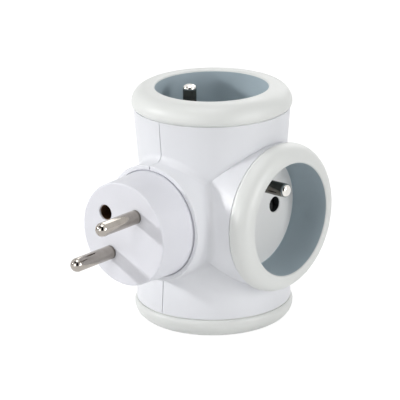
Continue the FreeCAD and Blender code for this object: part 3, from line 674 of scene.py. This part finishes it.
def bare_metal(name, base, roughness):
    """Stamped or drawn metal with rolling lines and a little tarnish."""
    material, tree, shader = new_material(name)
    shader.inputs["Metallic"].default_value = 1.0
    lines = noise(tree, 2600.0, (1, 1, 0.05), detail=3.0, roughness=0.6)
    tarnish = noise(tree, 160.0, detail=4.0, roughness=0.6, distortion=0.6)
    colours = mixed(tree, spread(tree, tarnish, 0.0, 1.0, 0.4, 0.75), shade(base, 1.0), shade(base, 0.72))
    rough = spread(tree, tarnish, roughness, roughness + 0.22, 0.35, 0.75)
    dress(tree, shader, colours, rough, [(lines, 0.3, 0.000015)])
    return material


def matt_plastic(name, base, roughness):
    """Matt technical plastic with a faint glass-fibre mottle."""
    material, tree, shader = new_material(name)
    mottle = noise(tree, 700.0, (1, 0.5, 1), detail=4.0, roughness=0.65)
    colours = mixed(tree, spread(tree, mottle, 0.0, 1.0, 0.3, 0.7), shade(base, 0.8), shade(base, 1.3))
    rough = spread(tree, mottle, roughness - 0.08, roughness + 0.1, 0.3, 0.7)
    skin = noise(tree, 4200.0, detail=2.0)
    dress(tree, shader, colours, rough, [(skin, 0.25, 0.00003)])
    return material


# Each finish: how it is made, its colour, its roughness and, on a moulding, its gloss
FINISHES = {
    "housing white": (moulded, "housing", 0.42, 0.5),
    "socket white": (moulded, "sockets", 0.42, 0.5),
    # Painted shade: the darker blue-grey on the wells' sides
    "well walls": (moulded, "walls", 0.55, 0.25),
    "well floors": (moulded, "floors", 0.55, 0.25),
    # Painted shade: near black in the bores of the contact holes
    "well holes": (moulded, "holes", 0.55, 0.25),
    "insert white": (moulded, "insert", 0.38, 0.5),
    "bare brass": (bare_metal, "brass", 0.3),
    # Painted shade: darkened brass for the earth tube in its hole
    "tarnished brass": (bare_metal, "tube", 0.4),
    "spring steel": (bare_metal, "steel", 0.22),
    "tray grey": (matt_plastic, "tray", 0.6),
    "shutter black": (matt_plastic, "shutter", 0.5),
}


def finish(name):
    """The finish of that name, made at its first use."""
    make, part, *rest = FINISHES[name]
    return bpy.data.materials.get(name) or make(name, getattr(sizes("finishes"), part), *rest)


def pin_nickel():
    """Plated, with painted shade where the pin leaves the insert: darker nickel up to just past the face.
    """
    f, face = sizes("finishes"), sizes("plug").face
    name = "live pin nickel"
    # Painted shade at the pin's root, ending 0.2 mm past the face and gone by 1.1 mm
    shade_edges = (face + 0.2 * MM, face + 1.1 * MM)
    return bpy.data.materials.get(name) or plated(name, f.nickel, f.painted_shade_nickel, "y", shade_edges)


def earth_nickel(along):
    """Painted dark on the shank as shade and dark reflection, and painted bright at the tip as a highlight;
    the tip stands a little inside the ring.
    """
    f, k = sizes("finishes"), sizes("sockets")
    name = f"earth nickel along {along}"
    tip = (k.side_reach if along == "x" else sizes("housing").half_height) - k.earth_tip
    # Painted shade on the shank up to 1.7 mm below the tip, and the painted highlight from 0.7 mm below it
    shade_edges = (tip - 1.7 * MM, tip - 0.7 * MM)
    return bpy.data.materials.get(name) or plated(name, f.painted_highlight_nickel, f.painted_shade_nickel, along, shade_edges)


# Housing


def touch(point, along, radius_at, slope_at):
    """Distance from a point to a surface turned round an axis, and the nearest point on it."""
    others = [axis for axis in range(3) if axis != along]
    out = math.hypot(point[others[0]], point[others[1]])
    level = point[along]
    for _ in range(5):
        level = point[along] + (out - radius_at(level)) * slope_at(level)
    radius = radius_at(level)
    nearest = Vector((0, 0, 0))
    nearest[along] = level
    for axis in others:
        nearest[axis] = point[axis] * radius / out
    gap = math.hypot(out - radius, point[along] - level)
    return math.copysign(gap, out - radius), nearest


def round_collar(turn):
    """The direction out of the collar's axis at that turn from the right."""
    return Vector((math.cos(turn), 0, math.sin(turn)))


def collar_column(turn, along, radius_at, slope_at, steps=20, past=1.07):
    """The fillet at one turn round the collar: from its wall to the surface it stands on, where a
    ball of the fillet's radius touches both. It runs on a little, to dip under that surface."""
    s = sizes("housing")
    out = round_collar(turn)
    far, near = -60 * MM, -2 * MM
    for _ in range(40):
        middle = (far + near) / 2
        ball = out * (s.collar_radius + s.collar_fillet) + Vector((0, middle, 0))
        if touch(ball, along, radius_at, slope_at)[0] > s.collar_fillet:
            far = middle
        else:
            near = middle
    nearest = touch(ball, along, radius_at, slope_at)[1]
    end = (nearest - ball).normalized()
    return [ball + arc(-out, end, past * step / steps) * s.collar_fillet for step in range(steps + 1)]


def collar_solid(lift):
    """The collar with the fillet where it stands on the barrel."""
    s = sizes("housing")
    root = -3 * MM
    columns = []
    for index in range(s.round_steps):
        turn = math.tau * index / s.round_steps
        out = round_collar(turn)
        fillet = collar_column(turn, 2, barrel_radius, barrel_slope)
        foot = Vector((fillet[-1].x, root, fillet[-1].z))
        start, end = Vector((0, fillet[0].y, 0)), Vector((0, s.lip_round - s.collar_front, 0))
        wall = [out * s.collar_radius + start.lerp(end, step / 8) for step in range(1, 8)]
        lip = rounded([
            (s.collar_radius, -fillet[0].y), (s.collar_radius, s.collar_front, s.lip_round),
            (0, s.collar_front),
        ])[1:-1]
        column = [Vector((0, root, 0)), foot, *reversed(fillet), *wall]
        column += [out * point.x + Vector((0, -point.y, 0)) for point in lip]
        column.append(Vector((0, -s.collar_front, 0)))
        columns.append([point + lift for point in column])
    return skinned(columns, closed=True)


def neck_fillet_solid(lift):
    """The rest of the fillet, where the collar stands on the side neck."""
    s = sizes("housing")
    spare = s.collar_fillet * 0.04
    core, root = 19 * MM, -5 * MM
    columns = []
    for degrees in range(-80, 81, 2):
        turn = math.radians(degrees)
        out = round_collar(turn)
        fillet = collar_column(turn, 0, neck_radius_at, neck_slope)
        wall = fillet[0].y - spare * 4
        column = [
            *fillet, Vector((fillet[-1].x, root, fillet[-1].z)), out * core + Vector((0, root, 0)),
            out * core + Vector((0, wall, 0)), out * (s.collar_radius - spare) + Vector((0, wall, 0)),
        ]
        columns.append([point + lift for point in column])
    return skinned(columns, closed=False)


def seam_paths():
    """The seam's line over the outside: down the front above and below the collar, and down the back."""
    s = sizes("housing")
    end = s.half_height - sizes("sockets").ring_height + 0.5 * MM
    corner = 0.4 * MM
    shift = -s.seam_shift

    def on_barrel(level, side):
        radius = barrel_radius(level)
        return Vector((shift, side * math.sqrt(radius**2 - shift**2), level))

    paths = [[on_barrel(end - 2 * end * step / 80, 1) for step in range(81)]]
    for up in (1, -1):
        turn = up * math.acos(shift / s.collar_radius)
        fillet = collar_column(turn, 2, barrel_radius, barrel_slope, steps=14, past=1.0)
        foot = abs(fillet[-1].z)
        path = [on_barrel(up * (end + (foot - end) * step / 8), -1) for step in range(8)]
        path += [Vector((shift, point.y, point.z)) for point in reversed(fillet)]
        level = math.sqrt(s.collar_radius**2 - shift**2)
        path.append(Vector((shift, corner - s.collar_front, up * level)))
        path.append(Vector((shift, -s.collar_front, up * (level - corner))))
        path.append(Vector((shift, -s.collar_front, up * (s.seat_radius - corner))))
        paths.append(path)
    return paths


def outside(lift):
    """Barrel, side neck and collar in one, with the groove of the seam."""
    s = sizes("housing")
    end = s.half_height - sizes("sockets").ring_height
    edge, near_edge = s.edge, s.edge * 0.3
    inner, steps = end - edge, 72
    levels = [-inner + 2 * inner * index / steps for index in range(steps + 1)]
    skin = [(0, -end), (s.end_radius - edge, -end), (s.end_radius - near_edge, near_edge - end)]
    skin += [(barrel_radius(level), level) for level in levels]
    skin += [(s.end_radius - near_edge, end - near_edge), (s.end_radius - edge, end), (0, end)]
    shell = turned(skin, s.round_steps, middle=lift)
    reaches = [s.neck_reach * index / 20 for index in range(20)]
    neck = [(0, 0), *[(neck_radius_at(reach), reach) for reach in reaches]]
    neck += [(s.neck_radius, s.neck_reach - edge), (s.neck_radius - near_edge, s.neck_reach - near_edge)]
    neck += [(s.neck_radius - edge, s.neck_reach), (0, s.neck_reach)]
    shell = combined(shell, turned(neck, s.round_steps, "right", lift), "UNION")
    shell = combined(shell, collar_solid(lift), "UNION")
    shell = combined(shell, neck_fillet_solid(lift), "UNION")
    for path in seam_paths():
        line = poly_curve([point + lift for point in path])
        groove = run_tree("Groove along a path", groove_tree, line, half_width=s.seam_groove)
        shell = combined(shell, point_outwards(groove))
    return shell


def housing_shell():
    """Both halves of the housing in one, before they are parted at the seam."""
    s = sizes("housing")
    lift = Vector((0, 0, s.half_height))
    shell = outside(lift)
    end = s.half_height - sizes("sockets").ring_height
    bore = s.end_radius - s.wall
    waist = [s.waist_half * (2 * index / 26 - 1) for index in range(27)]
    hollow = [(0, -end - MM), (bore, -end - MM), (bore, s.spigot_seat - end)]
    hollow += [(barrel_radius(level) - s.wall, level) for level in waist]
    hollow += [(bore, end - s.spigot_seat), (bore, end + MM), (0, end + MM)]
    shell = combined(shell, turned(hollow, INSIDE_STEPS, middle=lift))
    mouth = rod(s.neck_radius - s.wall, 0, s.neck_reach + MM)
    shell = combined(shell, turned(mouth, INSIDE_STEPS, "right", lift))
    back, front = s.collar_front - s.seat_depth, s.collar_front
    ledge = rod(s.seat_radius + s.ledge_wall, back - 1.5 * MM, back + 3 * MM)
    shell = combined(shell, turned(ledge, INSIDE_STEPS, "front", lift), "UNION")
    seat = [
        (0, back), (s.seat_radius, back), (s.seat_radius, front - 0.3 * MM),
        (s.seat_radius + 0.12 * MM, front - 0.06 * MM), (s.seat_radius + 0.3 * MM, front + 0.05 * MM),
        (0, front + 0.05 * MM),
    ]
    shell = combined(shell, turned(seat, s.round_steps, "front", lift))
    for up in (1, -1):
        low, high = sorted((up * (s.seat_radius - 0.2 * MM), up * (s.collar_radius - 0.3 * MM)))
        near = Vector((-s.seam_shift - s.seam_groove, -front - 0.1 * MM, s.half_height + low))
        far = Vector((-s.seam_shift + s.seam_groove, -front + s.notch_depth, s.half_height + high))
        shell = combined(shell, block(near, far))
    return combined(shell, turned(rod(s.way_radius, MM, front), INSIDE_STEPS, "front", lift))


class ADAPTER_OT_housing(Operator):
    """The two moulded housing halves, with the collar's fillet and the seam between them"""
    bl_idname = "adapter.housing"
    bl_label = "Housing"

    def execute(self, context):
        s = sizes("housing")
        shell = housing_shell()
        for name, side in (("left", -1), ("right", 1)):
            low, high = sorted((-s.seam_shift + side * s.seam_gap / 2, -side * 0.2))
            half = combined(shell.copy(), block((low, -0.2, -0.2), (high, 0.2, 0.3)))
            finished(
                f"housing_{name}_shell", half, finish("housing white"),
                [f"housing_{name}"], crease=9.0,
            )
        return {"FINISHED"}


# Sockets


SOCKET_STAND = {"top": "up", "bottom": "down", "side": "right"}


def to_socket(where):
    """The place of a socket, for what is made facing +Z with its crest at zero."""
    height = sizes("housing").half_height
    middle = {
        "top": (0, 0, 2 * height), "bottom": (0, 0, 0), "side": (sizes("sockets").side_reach, 0, height),
    }[where]
    return Matrix.Translation(middle) @ STAND[SOCKET_STAND[where]]


def in_socket(mesh, where):
    mesh.transform(to_socket(where))
    return mesh


def ring_profile(where):
    """Section through ring and well: floor, wall, mouth, crest, bulging side, shadow line and spigot."""
    s, k = sizes("housing"), sizes("sockets")
    joint = s.neck_radius if where == "side" else s.end_radius
    out = joint + k.ring_bulge
    line = rounded([
        (0, -k.recess_depth),
        (k.recess_radius, -k.recess_depth, k.floor_round),
        (k.recess_radius, 0, k.mouth_round),
        (out, 0, k.ring_round),
        (out, -k.ring_round - 0.1 * MM),
    ], 12)[:-1]
    fall = k.ring_height - k.groove - k.ring_round
    bend = (k.ring_bulge**2 + fall**2) / (2 * k.ring_bulge)
    for index in range(1, 9):
        drop = fall * index / 8
        line.append(Vector((out - bend + math.sqrt(bend**2 - drop**2), -k.ring_round - drop)))
    spigot = joint - s.wall - 0.05 * MM
    seat, end = -k.ring_height, -k.ring_height - k.spigot_length
    lower = [
        (joint - k.groove_depth, seat + k.groove), (joint - k.groove_depth, seat), (spigot, seat),
        (spigot, end + 0.2 * MM), (spigot - 0.3 * MM, end),
    ]
    cup = k.recess_radius + k.cup_wall
    if where == "side":
        lower.append((cup, end))
    else:
        channel = spigot - k.spigot_wall
        lower += [(channel, end), (channel, -k.crest_wall), (cup, -k.crest_wall)]
    under = -k.recess_depth - k.floor_wall
    lower += [(cup, under), (0, under)]
    return divided([*line, *lower], 4 * MM)


def socket_mesh(where):
    """Ring and well in one, with its contact holes and the seat of the earth pin."""
    k = sizes("sockets")
    mesh = turned(ring_profile(where), sizes("housing").round_steps)
    reach = k.floor_wall + 2 * MM
    hole = drill(k.hole_radius, k.hole_lead, reach)
    for side in (1, -1):
        mesh = combined(mesh, turned(hole, HOLE_STEPS, middle=(0, side * k.pitch / 2, -k.recess_depth)))
    seat = drill(k.earth_seat + 0.03 * MM, 0.15 * MM, reach)
    mesh = combined(mesh, turned(seat, BORE_STEPS, middle=(-k.earth_offset, 0, -k.recess_depth)))
    return in_socket(mesh, where)


def well_faces(mesh, where):
    """The faces of a socket's wall, of its floor and of the holes in it. The wall and the holes get painted
    shade.
    """
    k = sizes("sockets")
    back = to_socket(where).inverted()
    slack = 0.01 * MM
    underside = -k.recess_depth - k.floor_wall + slack
    wall, floor, holes = [], [], []
    for face in mesh.polygons:
        spot = back @ face.center
        if math.hypot(spot.x, spot.y) > k.recess_radius + slack:
            continue
        if not underside < spot.z < -k.mouth_round / 2:
            continue
        below = -k.recess_depth - spot.z
        # Faces past a hole's lead-in take the painted shade of the hole
        if below > k.hole_lead * 0.9:
            holes.append(face.index)
        elif below > -2 * slack:
            floor.append(face.index)
        else:
            wall.append(face.index)
    return wall, floor, holes


def earth_pin_mesh(where):
    """Turned earth pin with a rounded tip, a flange under the floor and a riveted shank."""
    k = sizes("sockets")
    tip, floor = -k.earth_tip, -k.recess_depth
    under = floor - k.floor_wall
    line = [Vector((step * 0.25 * MM, tip)) for step in range(4)]
    line += rounded([
        (0.95 * MM, tip), (k.earth_radius, tip, 1.3 * MM), (k.earth_radius, floor, 0.05 * MM),
        (k.earth_seat, floor), (k.earth_seat, under),
    ], 16)
    line += pin_tail(k.earth_seat, 3.6 * MM, under, 1.6 * MM, under - 2 * MM)
    return in_socket(turned(divided(line, 2.5 * MM), PIN_STEPS, middle=(-k.earth_offset, 0, 0)), where)


class ADAPTER_OT_sockets(Operator):
    """The three socket fronts, each a bulging ring in one piece with its well, and their earth pins"""
    bl_idname = "adapter.sockets"
    bl_label = "Sockets"

    def execute(self, context):
        for where in SIDES:
            mesh = socket_mesh(where)
            # The wells' sides and the bores of the contact holes get painted shade; the floors keep a plain
            # finish
            parts = zip(("walls", "floors", "holes"), well_faces(mesh, where))
            finished(
                f"socket_{where}_moulding", mesh, finish("socket white"),
                [f"socket_front_{where}"], crease=24.0,
                painted_shade_and_floors=[(finish(f"well {part}"), faces) for part, faces in parts],
            )
            finished(
                f"earth_pin_{where}_turned", earth_pin_mesh(where),
                earth_nickel("x" if where == "side" else "z"), [f"earth_pin_{where}"],
            )
        return {"FINISHED"}


# Plug


def pin_places():
    """Middles of the two live pins and the earth hole, across and above the plug axis."""
    p, k = sizes("plug"), sizes("sockets")
    across, rise = k.pitch / 2 * math.cos(p.pin_angle), k.pitch / 2 * math.sin(p.pin_angle)
    earth = (-k.earth_offset * math.sin(p.pin_angle), k.earth_offset * math.cos(p.pin_angle))
    return (across, rise), (-across, -rise), earth


def on_plug(across, rise, reach=0.0):
    """A point in front of the barrel axis by reach, that far across and above the plug axis."""
    return Vector((across, -reach, sizes("housing").half_height + rise))


def plug_turned(line, segments, place, reach=0.0):
    """A turned solid along the plug axis, at that place on the face."""
    return turned(line, segments, "front", on_plug(*place, reach))


def insert_mesh():
    """The insert: a cup with its face outwards, bosses behind it, and the three holes."""
    p = sizes("plug")
    inner, outer = p.insert_radius - p.insert_wall, p.insert_radius + p.rib
    back, boss_end = p.face - p.insert_length, p.face - BOSS_DEPTH
    line = rounded([
        (0, p.face), (p.face_radius, p.face, p.edge_round), (p.insert_radius, p.face - 14.9 * MM),
    ], 10)
    line += [
        (p.insert_radius, p.face - 15.6 * MM), (outer, p.face - 15.7 * MM), (outer, back), (inner, back),
        (inner, p.face - p.face_wall), (0, p.face - p.face_wall),
    ]
    upper, lower, earth = pin_places()
    mesh = plug_turned(divided(line, 2 * MM), sizes("housing").round_steps, (0, 0))
    for place, radius in ((upper, 3.9 * MM), (lower, 3.9 * MM), (earth, 5.0 * MM)):
        boss = rod(radius, boss_end, p.face - 3 * MM)
        mesh = combined(mesh, plug_turned(boss, BORE_STEPS, place), "UNION")
    bore = drill(p.pin_root + 0.03 * MM, 0.1 * MM, BOSS_DEPTH + 2 * MM)
    for place in (upper, lower):
        mesh = combined(mesh, plug_turned(bore, BORE_STEPS, place, p.face))
    mouth = drill(p.earth_hole, 0.45 * MM, 5 * MM)
    mesh = combined(mesh, plug_turned(mouth, HOLE_STEPS, earth, p.face))
    tube = rod(p.tube_radius + 0.03 * MM, boss_end - 2 * MM, p.face - p.face_wall)
    return combined(mesh, plug_turned(tube, BORE_STEPS, earth))


def pin_mesh(place, strip):
    """Live pin with a ball tip, a root in the insert and a shank riveted through its strip."""
    p = sizes("plug")
    radius, root, tip = p.pin_radius, p.face - BOSS_DEPTH, p.face + p.pin_length
    turns = [math.pi / 2 * step / 24 for step in range(25)]
    line = [(radius * math.sin(turn), tip - radius * (1 - math.cos(turn))) for turn in turns]
    line += [(radius, p.face + 0.05 * MM), (radius - 0.05 * MM, p.face)]
    line += [(p.pin_root, p.face), (p.pin_root, root)]
    line += pin_tail(p.pin_root, 3.4 * MM, root, 1.5 * MM, strip)
    return plug_turned(divided(line, 2 * MM), PIN_STEPS, place)


class ADAPTER_OT_plug(Operator):
    """The plug: its insert and the two live pins with ball tips"""
    bl_idname = "adapter.plug"
    bl_label = "Plug"

    def execute(self, context):
        upper, lower, _ = pin_places()
        finished(
            "plug_insert_moulding", insert_mesh(), finish("insert white"), ["plug_insert"],
            crease=24.0,
        )
        for name, place, strip in (("upper", upper, -7.1 * MM), ("lower", lower, 11.9 * MM)):
            finished(
                f"plug_pin_{name}_turned", pin_mesh(place, strip), pin_nickel(),
                [f"plug_pin_{name}"],
            )
        return {"FINISHED"}


# Contacts and shutters


def sleeve_mesh(where, row, end):
    """Split contact sleeve under the tray of a socket, riveted to its strip."""
    m, k = sizes("mechanism"), sizes("sockets")
    top = -k.recess_depth - k.floor_wall - m.sleeve_drop
    bore, outer = m.sleeve_bore, m.sleeve_bore + m.sleeve_wall
    line = [(0, end + 2 * MM), (bore, end + 2 * MM)]
    line += rounded([
        (bore, top - 0.3 * MM), (bore + 0.25 * MM, top, 0.1 * MM), (outer, top, 0.15 * MM),
        (outer, end, 0.2 * MM), *rivet(m.contact_shank, end, end - 0.8 * MM, 0.15 * MM),
    ], 4)
    mesh = turned(divided(line, 3 * MM), SLEEVE_STEPS, middle=(0, row, 0))
    slot = block((-0.01, row - m.slot / 2, top - 9 * MM), (0.01, row + m.slot / 2, top + MM))
    return in_socket(combined(mesh, slot), where)


def earth_tube_mesh():
    """Split tube behind the hole in the plug face, riveted to the earth strip."""
    p, m = sizes("plug"), sizes("mechanism")
    start, end = p.face - p.face_wall, p.face - p.insert_length
    lip, mouth = p.face - 0.7 * MM, p.earth_hole - 0.02 * MM
    line = [(0, end + 2 * MM), (p.tube_bore, end + 2 * MM)]
    line += rounded([
        (p.tube_bore, lip), (mouth, lip), (mouth, start), (p.tube_radius, start, 0.15 * MM),
        (p.tube_radius, end, 0.2 * MM), *rivet(m.contact_shank, end, end - 0.8 * MM, 0.15 * MM),
    ], 4)
    earth = pin_places()[2]
    mesh = plug_turned(divided(line, 3 * MM), SLEEVE_STEPS, earth)
    middle = on_plug(*earth)
    near = (middle.x - m.slot / 2, -start - MM, middle.z - 0.01)
    return combined(mesh, block(near, (middle.x + m.slot / 2, -start + 12 * MM, middle.z + 0.01)))


class ADAPTER_OT_contacts(Operator):
    """The brass inside: split sleeves, the plug's earth contact and the folded strips"""
    bl_idname = "adapter.contacts"
    bl_label = "Contacts"

    def execute(self, context):
        s, k = sizes("housing"), sizes("sockets")
        for where in SIDES:
            end = -(k.side_reach + 3.2 * MM) if where == "side" else -(s.half_height - 5.0 * MM)
            turned_over = -1 if where == "bottom" else 1
            for name, side in (("rear", 1), ("front", -1)):
                mesh = sleeve_mesh(where, side * turned_over * k.pitch / 2, end)
                finished(
                    f"{name}_sleeve_{where}_turned", mesh, finish("bare brass"),
                    [f"{name}_sleeve_{where}"],
                )
        # The earth tube gets the darkened brass, painted shade for its hole
        finished(
            "plug_earth_tube", earth_tube_mesh(), finish("tarnished brass"),
            ["plug_earth_contact"],
        )
        for node in ("front_contact_strip", "rear_contact_strip", "earth_strip"):
            paint(node, finish("bare brass"))
        return {"FINISHED"}


def spring_mesh(where):
    """Shutter spring, along the way its shutter slides."""
    m, k = sizes("mechanism"), sizes("sockets")
    height = m.spring_length - 2 * (m.wire_radius + m.spring_play)
    tray_floor = -(k.recess_depth + k.floor_wall + m.tray_depth)
    level = tray_floor + m.tray_gap + m.spring_radius + m.wire_radius
    mesh = run_tree(
        "Coil spring", coil_tree, bpy.data.meshes.new("seed"), turns=m.turns, radius=m.spring_radius,
        wire_radius=m.wire_radius, length=height,
    )
    start = Vector((m.spring_start + m.spring_play + m.wire_radius, 0, level))
    mesh.transform(Matrix.Translation(start) @ Matrix.Rotation(math.pi / 2, 4, "Y"))
    return in_socket(point_outwards(mesh), where)


class ADAPTER_OT_shutters(Operator):
    """The sprung shutters behind the contact holes, their trays and springs"""
    bl_idname = "adapter.shutters"
    bl_label = "Shutters"

    def execute(self, context):
        m = sizes("mechanism")
        for where in SIDES:
            paint(f"shutter_tray_{where}", finish("tray grey"))
            paint(f"shutter_{where}", finish("shutter black"))
            spring = finished(
                f"spring_{where}_coil", spring_mesh(where), finish("spring steel"),
                [f"shutter_spring_{where}"], crease=60.0,
            )
            end = to_socket(where) @ Vector((m.spring_start + m.spring_length, 0, 0))
            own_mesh(spring)
        return {"FINISHED"}


# Stage

LAMP_DISTANCE = 0.9
CARD_DISTANCE = 1.3

# Azimuth, elevation, width and height of each lamp, and its power
LAMPS = {
    "left lamp": (-44.0, 18.3, 0.08, 0.08, "left_power"),
    "upper left lamp": (-70.0, 50.0, 0.40, 0.40, "upper_power"),
    "front lamp": (0.0, 4.0, 0.34, 0.62, "front_power"),
    "right lamp": (101.0, 17.0, 0.28, 0.50, "right_power"),
    "low right lamp": (85.0, 6.0, 0.30, 0.30, "low_power"),
    "rear lamp": (200.0, 34.0, 0.70, 0.70, "rear_power"),
    "top lamp": (8.0, 80.0, 0.60, 0.60, "top_power"),
}

# Azimuth, elevation, width, height and grey of each unlit gap between the lamps
GAPS = {
    "camera gap": (43.0, 30.0, 0.85, 1.60, 0.01),
    "left gap": (-57.0, 4.0, 0.60, 0.75, 0.02),
    "upper gap": (-40.0, 58.0, 1.70, 0.75, 0.04),
}


def way_out(azimuth, elevation):
    """The direction from the adapter. Azimuth 0 is the plug's and 90 the side socket's."""
    a, e = math.radians(azimuth), math.radians(elevation)
    return Vector((math.sin(a) * math.cos(e), -math.cos(a) * math.cos(e), math.sin(e)))


def set_up(name, data, azimuth, elevation, distance):
    """Stands a lamp or a card that far out, facing the adapter."""
    out = way_out(azimuth, elevation)
    item = bpy.data.objects.new(name, data)
    item.location = Vector((0, -5 * MM, sizes("housing").half_height)) + out * distance
    item.rotation_mode = "QUATERNION"
    item.rotation_quaternion = out.to_track_quat("Z", "Y")
    bpy.context.scene.collection.objects.link(item)
    return item


def lamp(name, azimuth, elevation, width, height, power):
    """A soft lamp aimed at the adapter."""
    data = bpy.data.lights.new(name, "AREA")
    data.shape = "ELLIPSE"
    data.size = width
    data.size_y = height
    data.energy = getattr(sizes("stage"), power)
    set_up(name, data, azimuth, elevation, LAMP_DISTANCE)


def grid_mesh(name, half_width, half_height):
    work = bmesh.new()
    bmesh.ops.create_grid(work, x_segments=2, y_segments=2, size=1.0)
    mesh = written(work, bpy.data.meshes.new(name))
    mesh.transform(Matrix.Diagonal((half_width, half_height, 1.0, 1.0)))
    return mesh


def dark_card(name, azimuth, elevation, width, height, grey):
    """A dark card in a gap of the studio, such as the one round its camera. Only reflections show it."""
    mesh = grid_mesh(name, width / 2, height / 2)
    material, tree, shader = new_material(name)
    tree.nodes.remove(shader)
    glow = add_node(tree, "ShaderNodeEmission", {"Color": (grey, grey, grey, 1.0), "Strength": 1.0})
    tree.links.new(glow.outputs[0], tree.nodes["Material Output"].inputs["Surface"])
    mesh.materials.append(material)
    card = set_up(name, mesh, azimuth, elevation, CARD_DISTANCE)
    for kind in ("camera", "diffuse", "transmission", "volume_scatter", "shadow"):
        setattr(card, f"visible_{kind}", False)


def seen(tree):
    """1 for what the camera, a reflection or glass sees, and 0 for what only lights things."""
    path = add_node(tree, "ShaderNodeLightPath").outputs
    direct = number(tree, "ADD", path["Is Camera Ray"], path["Is Glossy Ray"], clamp=True)
    return number(tree, "ADD", direct, path["Is Transmission Ray"], clamp=True)


def stage_material(strength):
    """White floor: a diffuse one that also gives back white to what looks at it, more so far away."""
    material, tree, shader = new_material("studio floor")
    tree.nodes.remove(shader)
    plain = add_node(tree, "ShaderNodeBsdfDiffuse", {"Color": (0.8, 0.8, 0.8, 1.0)})
    faint = add_node(tree, "ShaderNodeBsdfDiffuse", {"Color": (strength, strength, strength * 1.02, 1.0)})
    place = add_node(tree, "ShaderNodeTexCoord")
    away = add_node(tree, "ShaderNodeVectorMath", {0: place.outputs["Object"]}, operation="LENGTH")
    white = spread(tree, away.outputs["Value"], 0.9, 1.0, 0.3, 0.8)
    glow = add_node(tree, "ShaderNodeEmission", {"Strength": white})
    both = add_node(tree, "ShaderNodeAddShader", {0: faint.outputs[0], 1: glow.outputs[0]})
    mix = add_node(tree, "ShaderNodeMixShader", {0: seen(tree), 1: plain.outputs[0], 2: both.outputs[0]})
    tree.links.new(mix.outputs[0], tree.nodes["Material Output"].inputs["Surface"])
    return material


def room_world(strength):
    """White to the camera and to reflections, and a plain soft light on everything else."""
    world = bpy.data.worlds.new("studio")
    bpy.context.scene.world = world
    world.use_nodes = True
    tree = world.node_tree
    background = tree.nodes["Background"]
    background.inputs["Color"].default_value = (1.0, 1.0, 1.0, 1.0)
    tree.links.new(spread(tree, seen(tree), strength, 1.0), background.inputs["Strength"])


def photo_camera():
    """The camera of the photograph, placed and aimed from the middle of the barrel."""
    azimuth, elevation, roll = 40.33, 18.30, math.radians(-0.687)
    distance, aside, raised = 0.927, -0.004493, 0.000014
    focal_pixels, frame_pixels, sensor = 2652.1, 400, 36.0
    back = way_out(azimuth, elevation)
    right = Vector((math.cos(math.radians(azimuth)), math.sin(math.radians(azimuth)), 0))
    up = back.cross(right)
    across = math.cos(roll) * right + math.sin(roll) * up
    above = -math.sin(roll) * right + math.cos(roll) * up
    middle = Vector((0, 0, sizes("housing").half_height))
    place = back * distance + right * aside + up * raised + middle
    data = bpy.data.cameras.new("photo camera")
    data.sensor_width = sensor
    data.lens = focal_pixels / frame_pixels * sensor
    data.clip_start = 0.05
    data.clip_end = 50.0
    item = bpy.data.objects.new("photo camera", data)
    item.matrix_world = Matrix((
        (across.x, above.x, back.x, place.x), (across.y, above.y, back.y, place.y),
        (across.z, above.z, back.z, place.z), (0, 0, 0, 1),
    ))
    bpy.context.scene.collection.objects.link(item)
    bpy.context.scene.camera = item


class ADAPTER_OT_stage(Operator):
    """A white floor, the studio's lamps and dark gaps, and the photograph's camera"""
    bl_idname = "adapter.stage"
    bl_label = "Stage"

    def execute(self, context):
        g = sizes("stage")
        mesh = grid_mesh("floor", 6.0, 6.0)
        mesh.materials.append(stage_material(g.shadow))
        floor = bpy.data.objects.new("floor", mesh)
        floor.location = (0, 0, -0.02 * MM)
        bpy.context.scene.collection.objects.link(floor)
        room_world(g.room)
        for name, values in LAMPS.items():
            lamp(name, *values)
        for name, values in GAPS.items():
            dark_card(name, *values)
        bpy.context.scene.view_settings.view_transform = "Standard"
        photo_camera()
        return {"FINISHED"}


class ADAPTER_PT_panel(Panel):
    """Lists the adapter's pieces and their sizes"""
    bl_idname = "ADAPTER_PT_panel"
    bl_label = "Multi socket adapter"
    bl_space_type = "VIEW_3D"
    bl_region_type = "UI"
    bl_category = "Adapter"

    def draw(self, context):
        for operator in OPERATORS:
            self.layout.operator(operator.bl_idname)
        for name, group in GROUPS.items():
            box = self.layout.box()
            box.label(text=name.title())
            for key in group.__annotations__:
                box.prop(getattr(context.scene, f"adapter_{name}"), key)


GROUPS = {
    "housing": HousingSizes, "sockets": SocketSizes, "plug": PlugSizes, "mechanism": MechanismSizes,
    "finishes": Finishes, "stage": StageSettings,
}
OPERATORS = (
    ADAPTER_OT_housing, ADAPTER_OT_sockets, ADAPTER_OT_plug, ADAPTER_OT_contacts, ADAPTER_OT_shutters,
    ADAPTER_OT_stage,
)


def register():
    for item in (*GROUPS.values(), *OPERATORS, ADAPTER_PT_panel):
        bpy.utils.register_class(item)
    for name, group in GROUPS.items():
        setattr(bpy.types.Scene, f"adapter_{name}", PointerProperty(type=group))


def unregister():
    for name in GROUPS:
        delattr(bpy.types.Scene, f"adapter_{name}")
    for item in (ADAPTER_PT_panel, *reversed(OPERATORS), *reversed(GROUPS.values())):
        bpy.utils.unregister_class(item)


def main():
    register()
    bpy.ops.adapter.housing()
    bpy.ops.adapter.sockets()
    bpy.ops.adapter.plug()
    bpy.ops.adapter.contacts()
    bpy.ops.adapter.shutters()
    bpy.ops.adapter.stage()


if __name__ == "__main__":
    main()
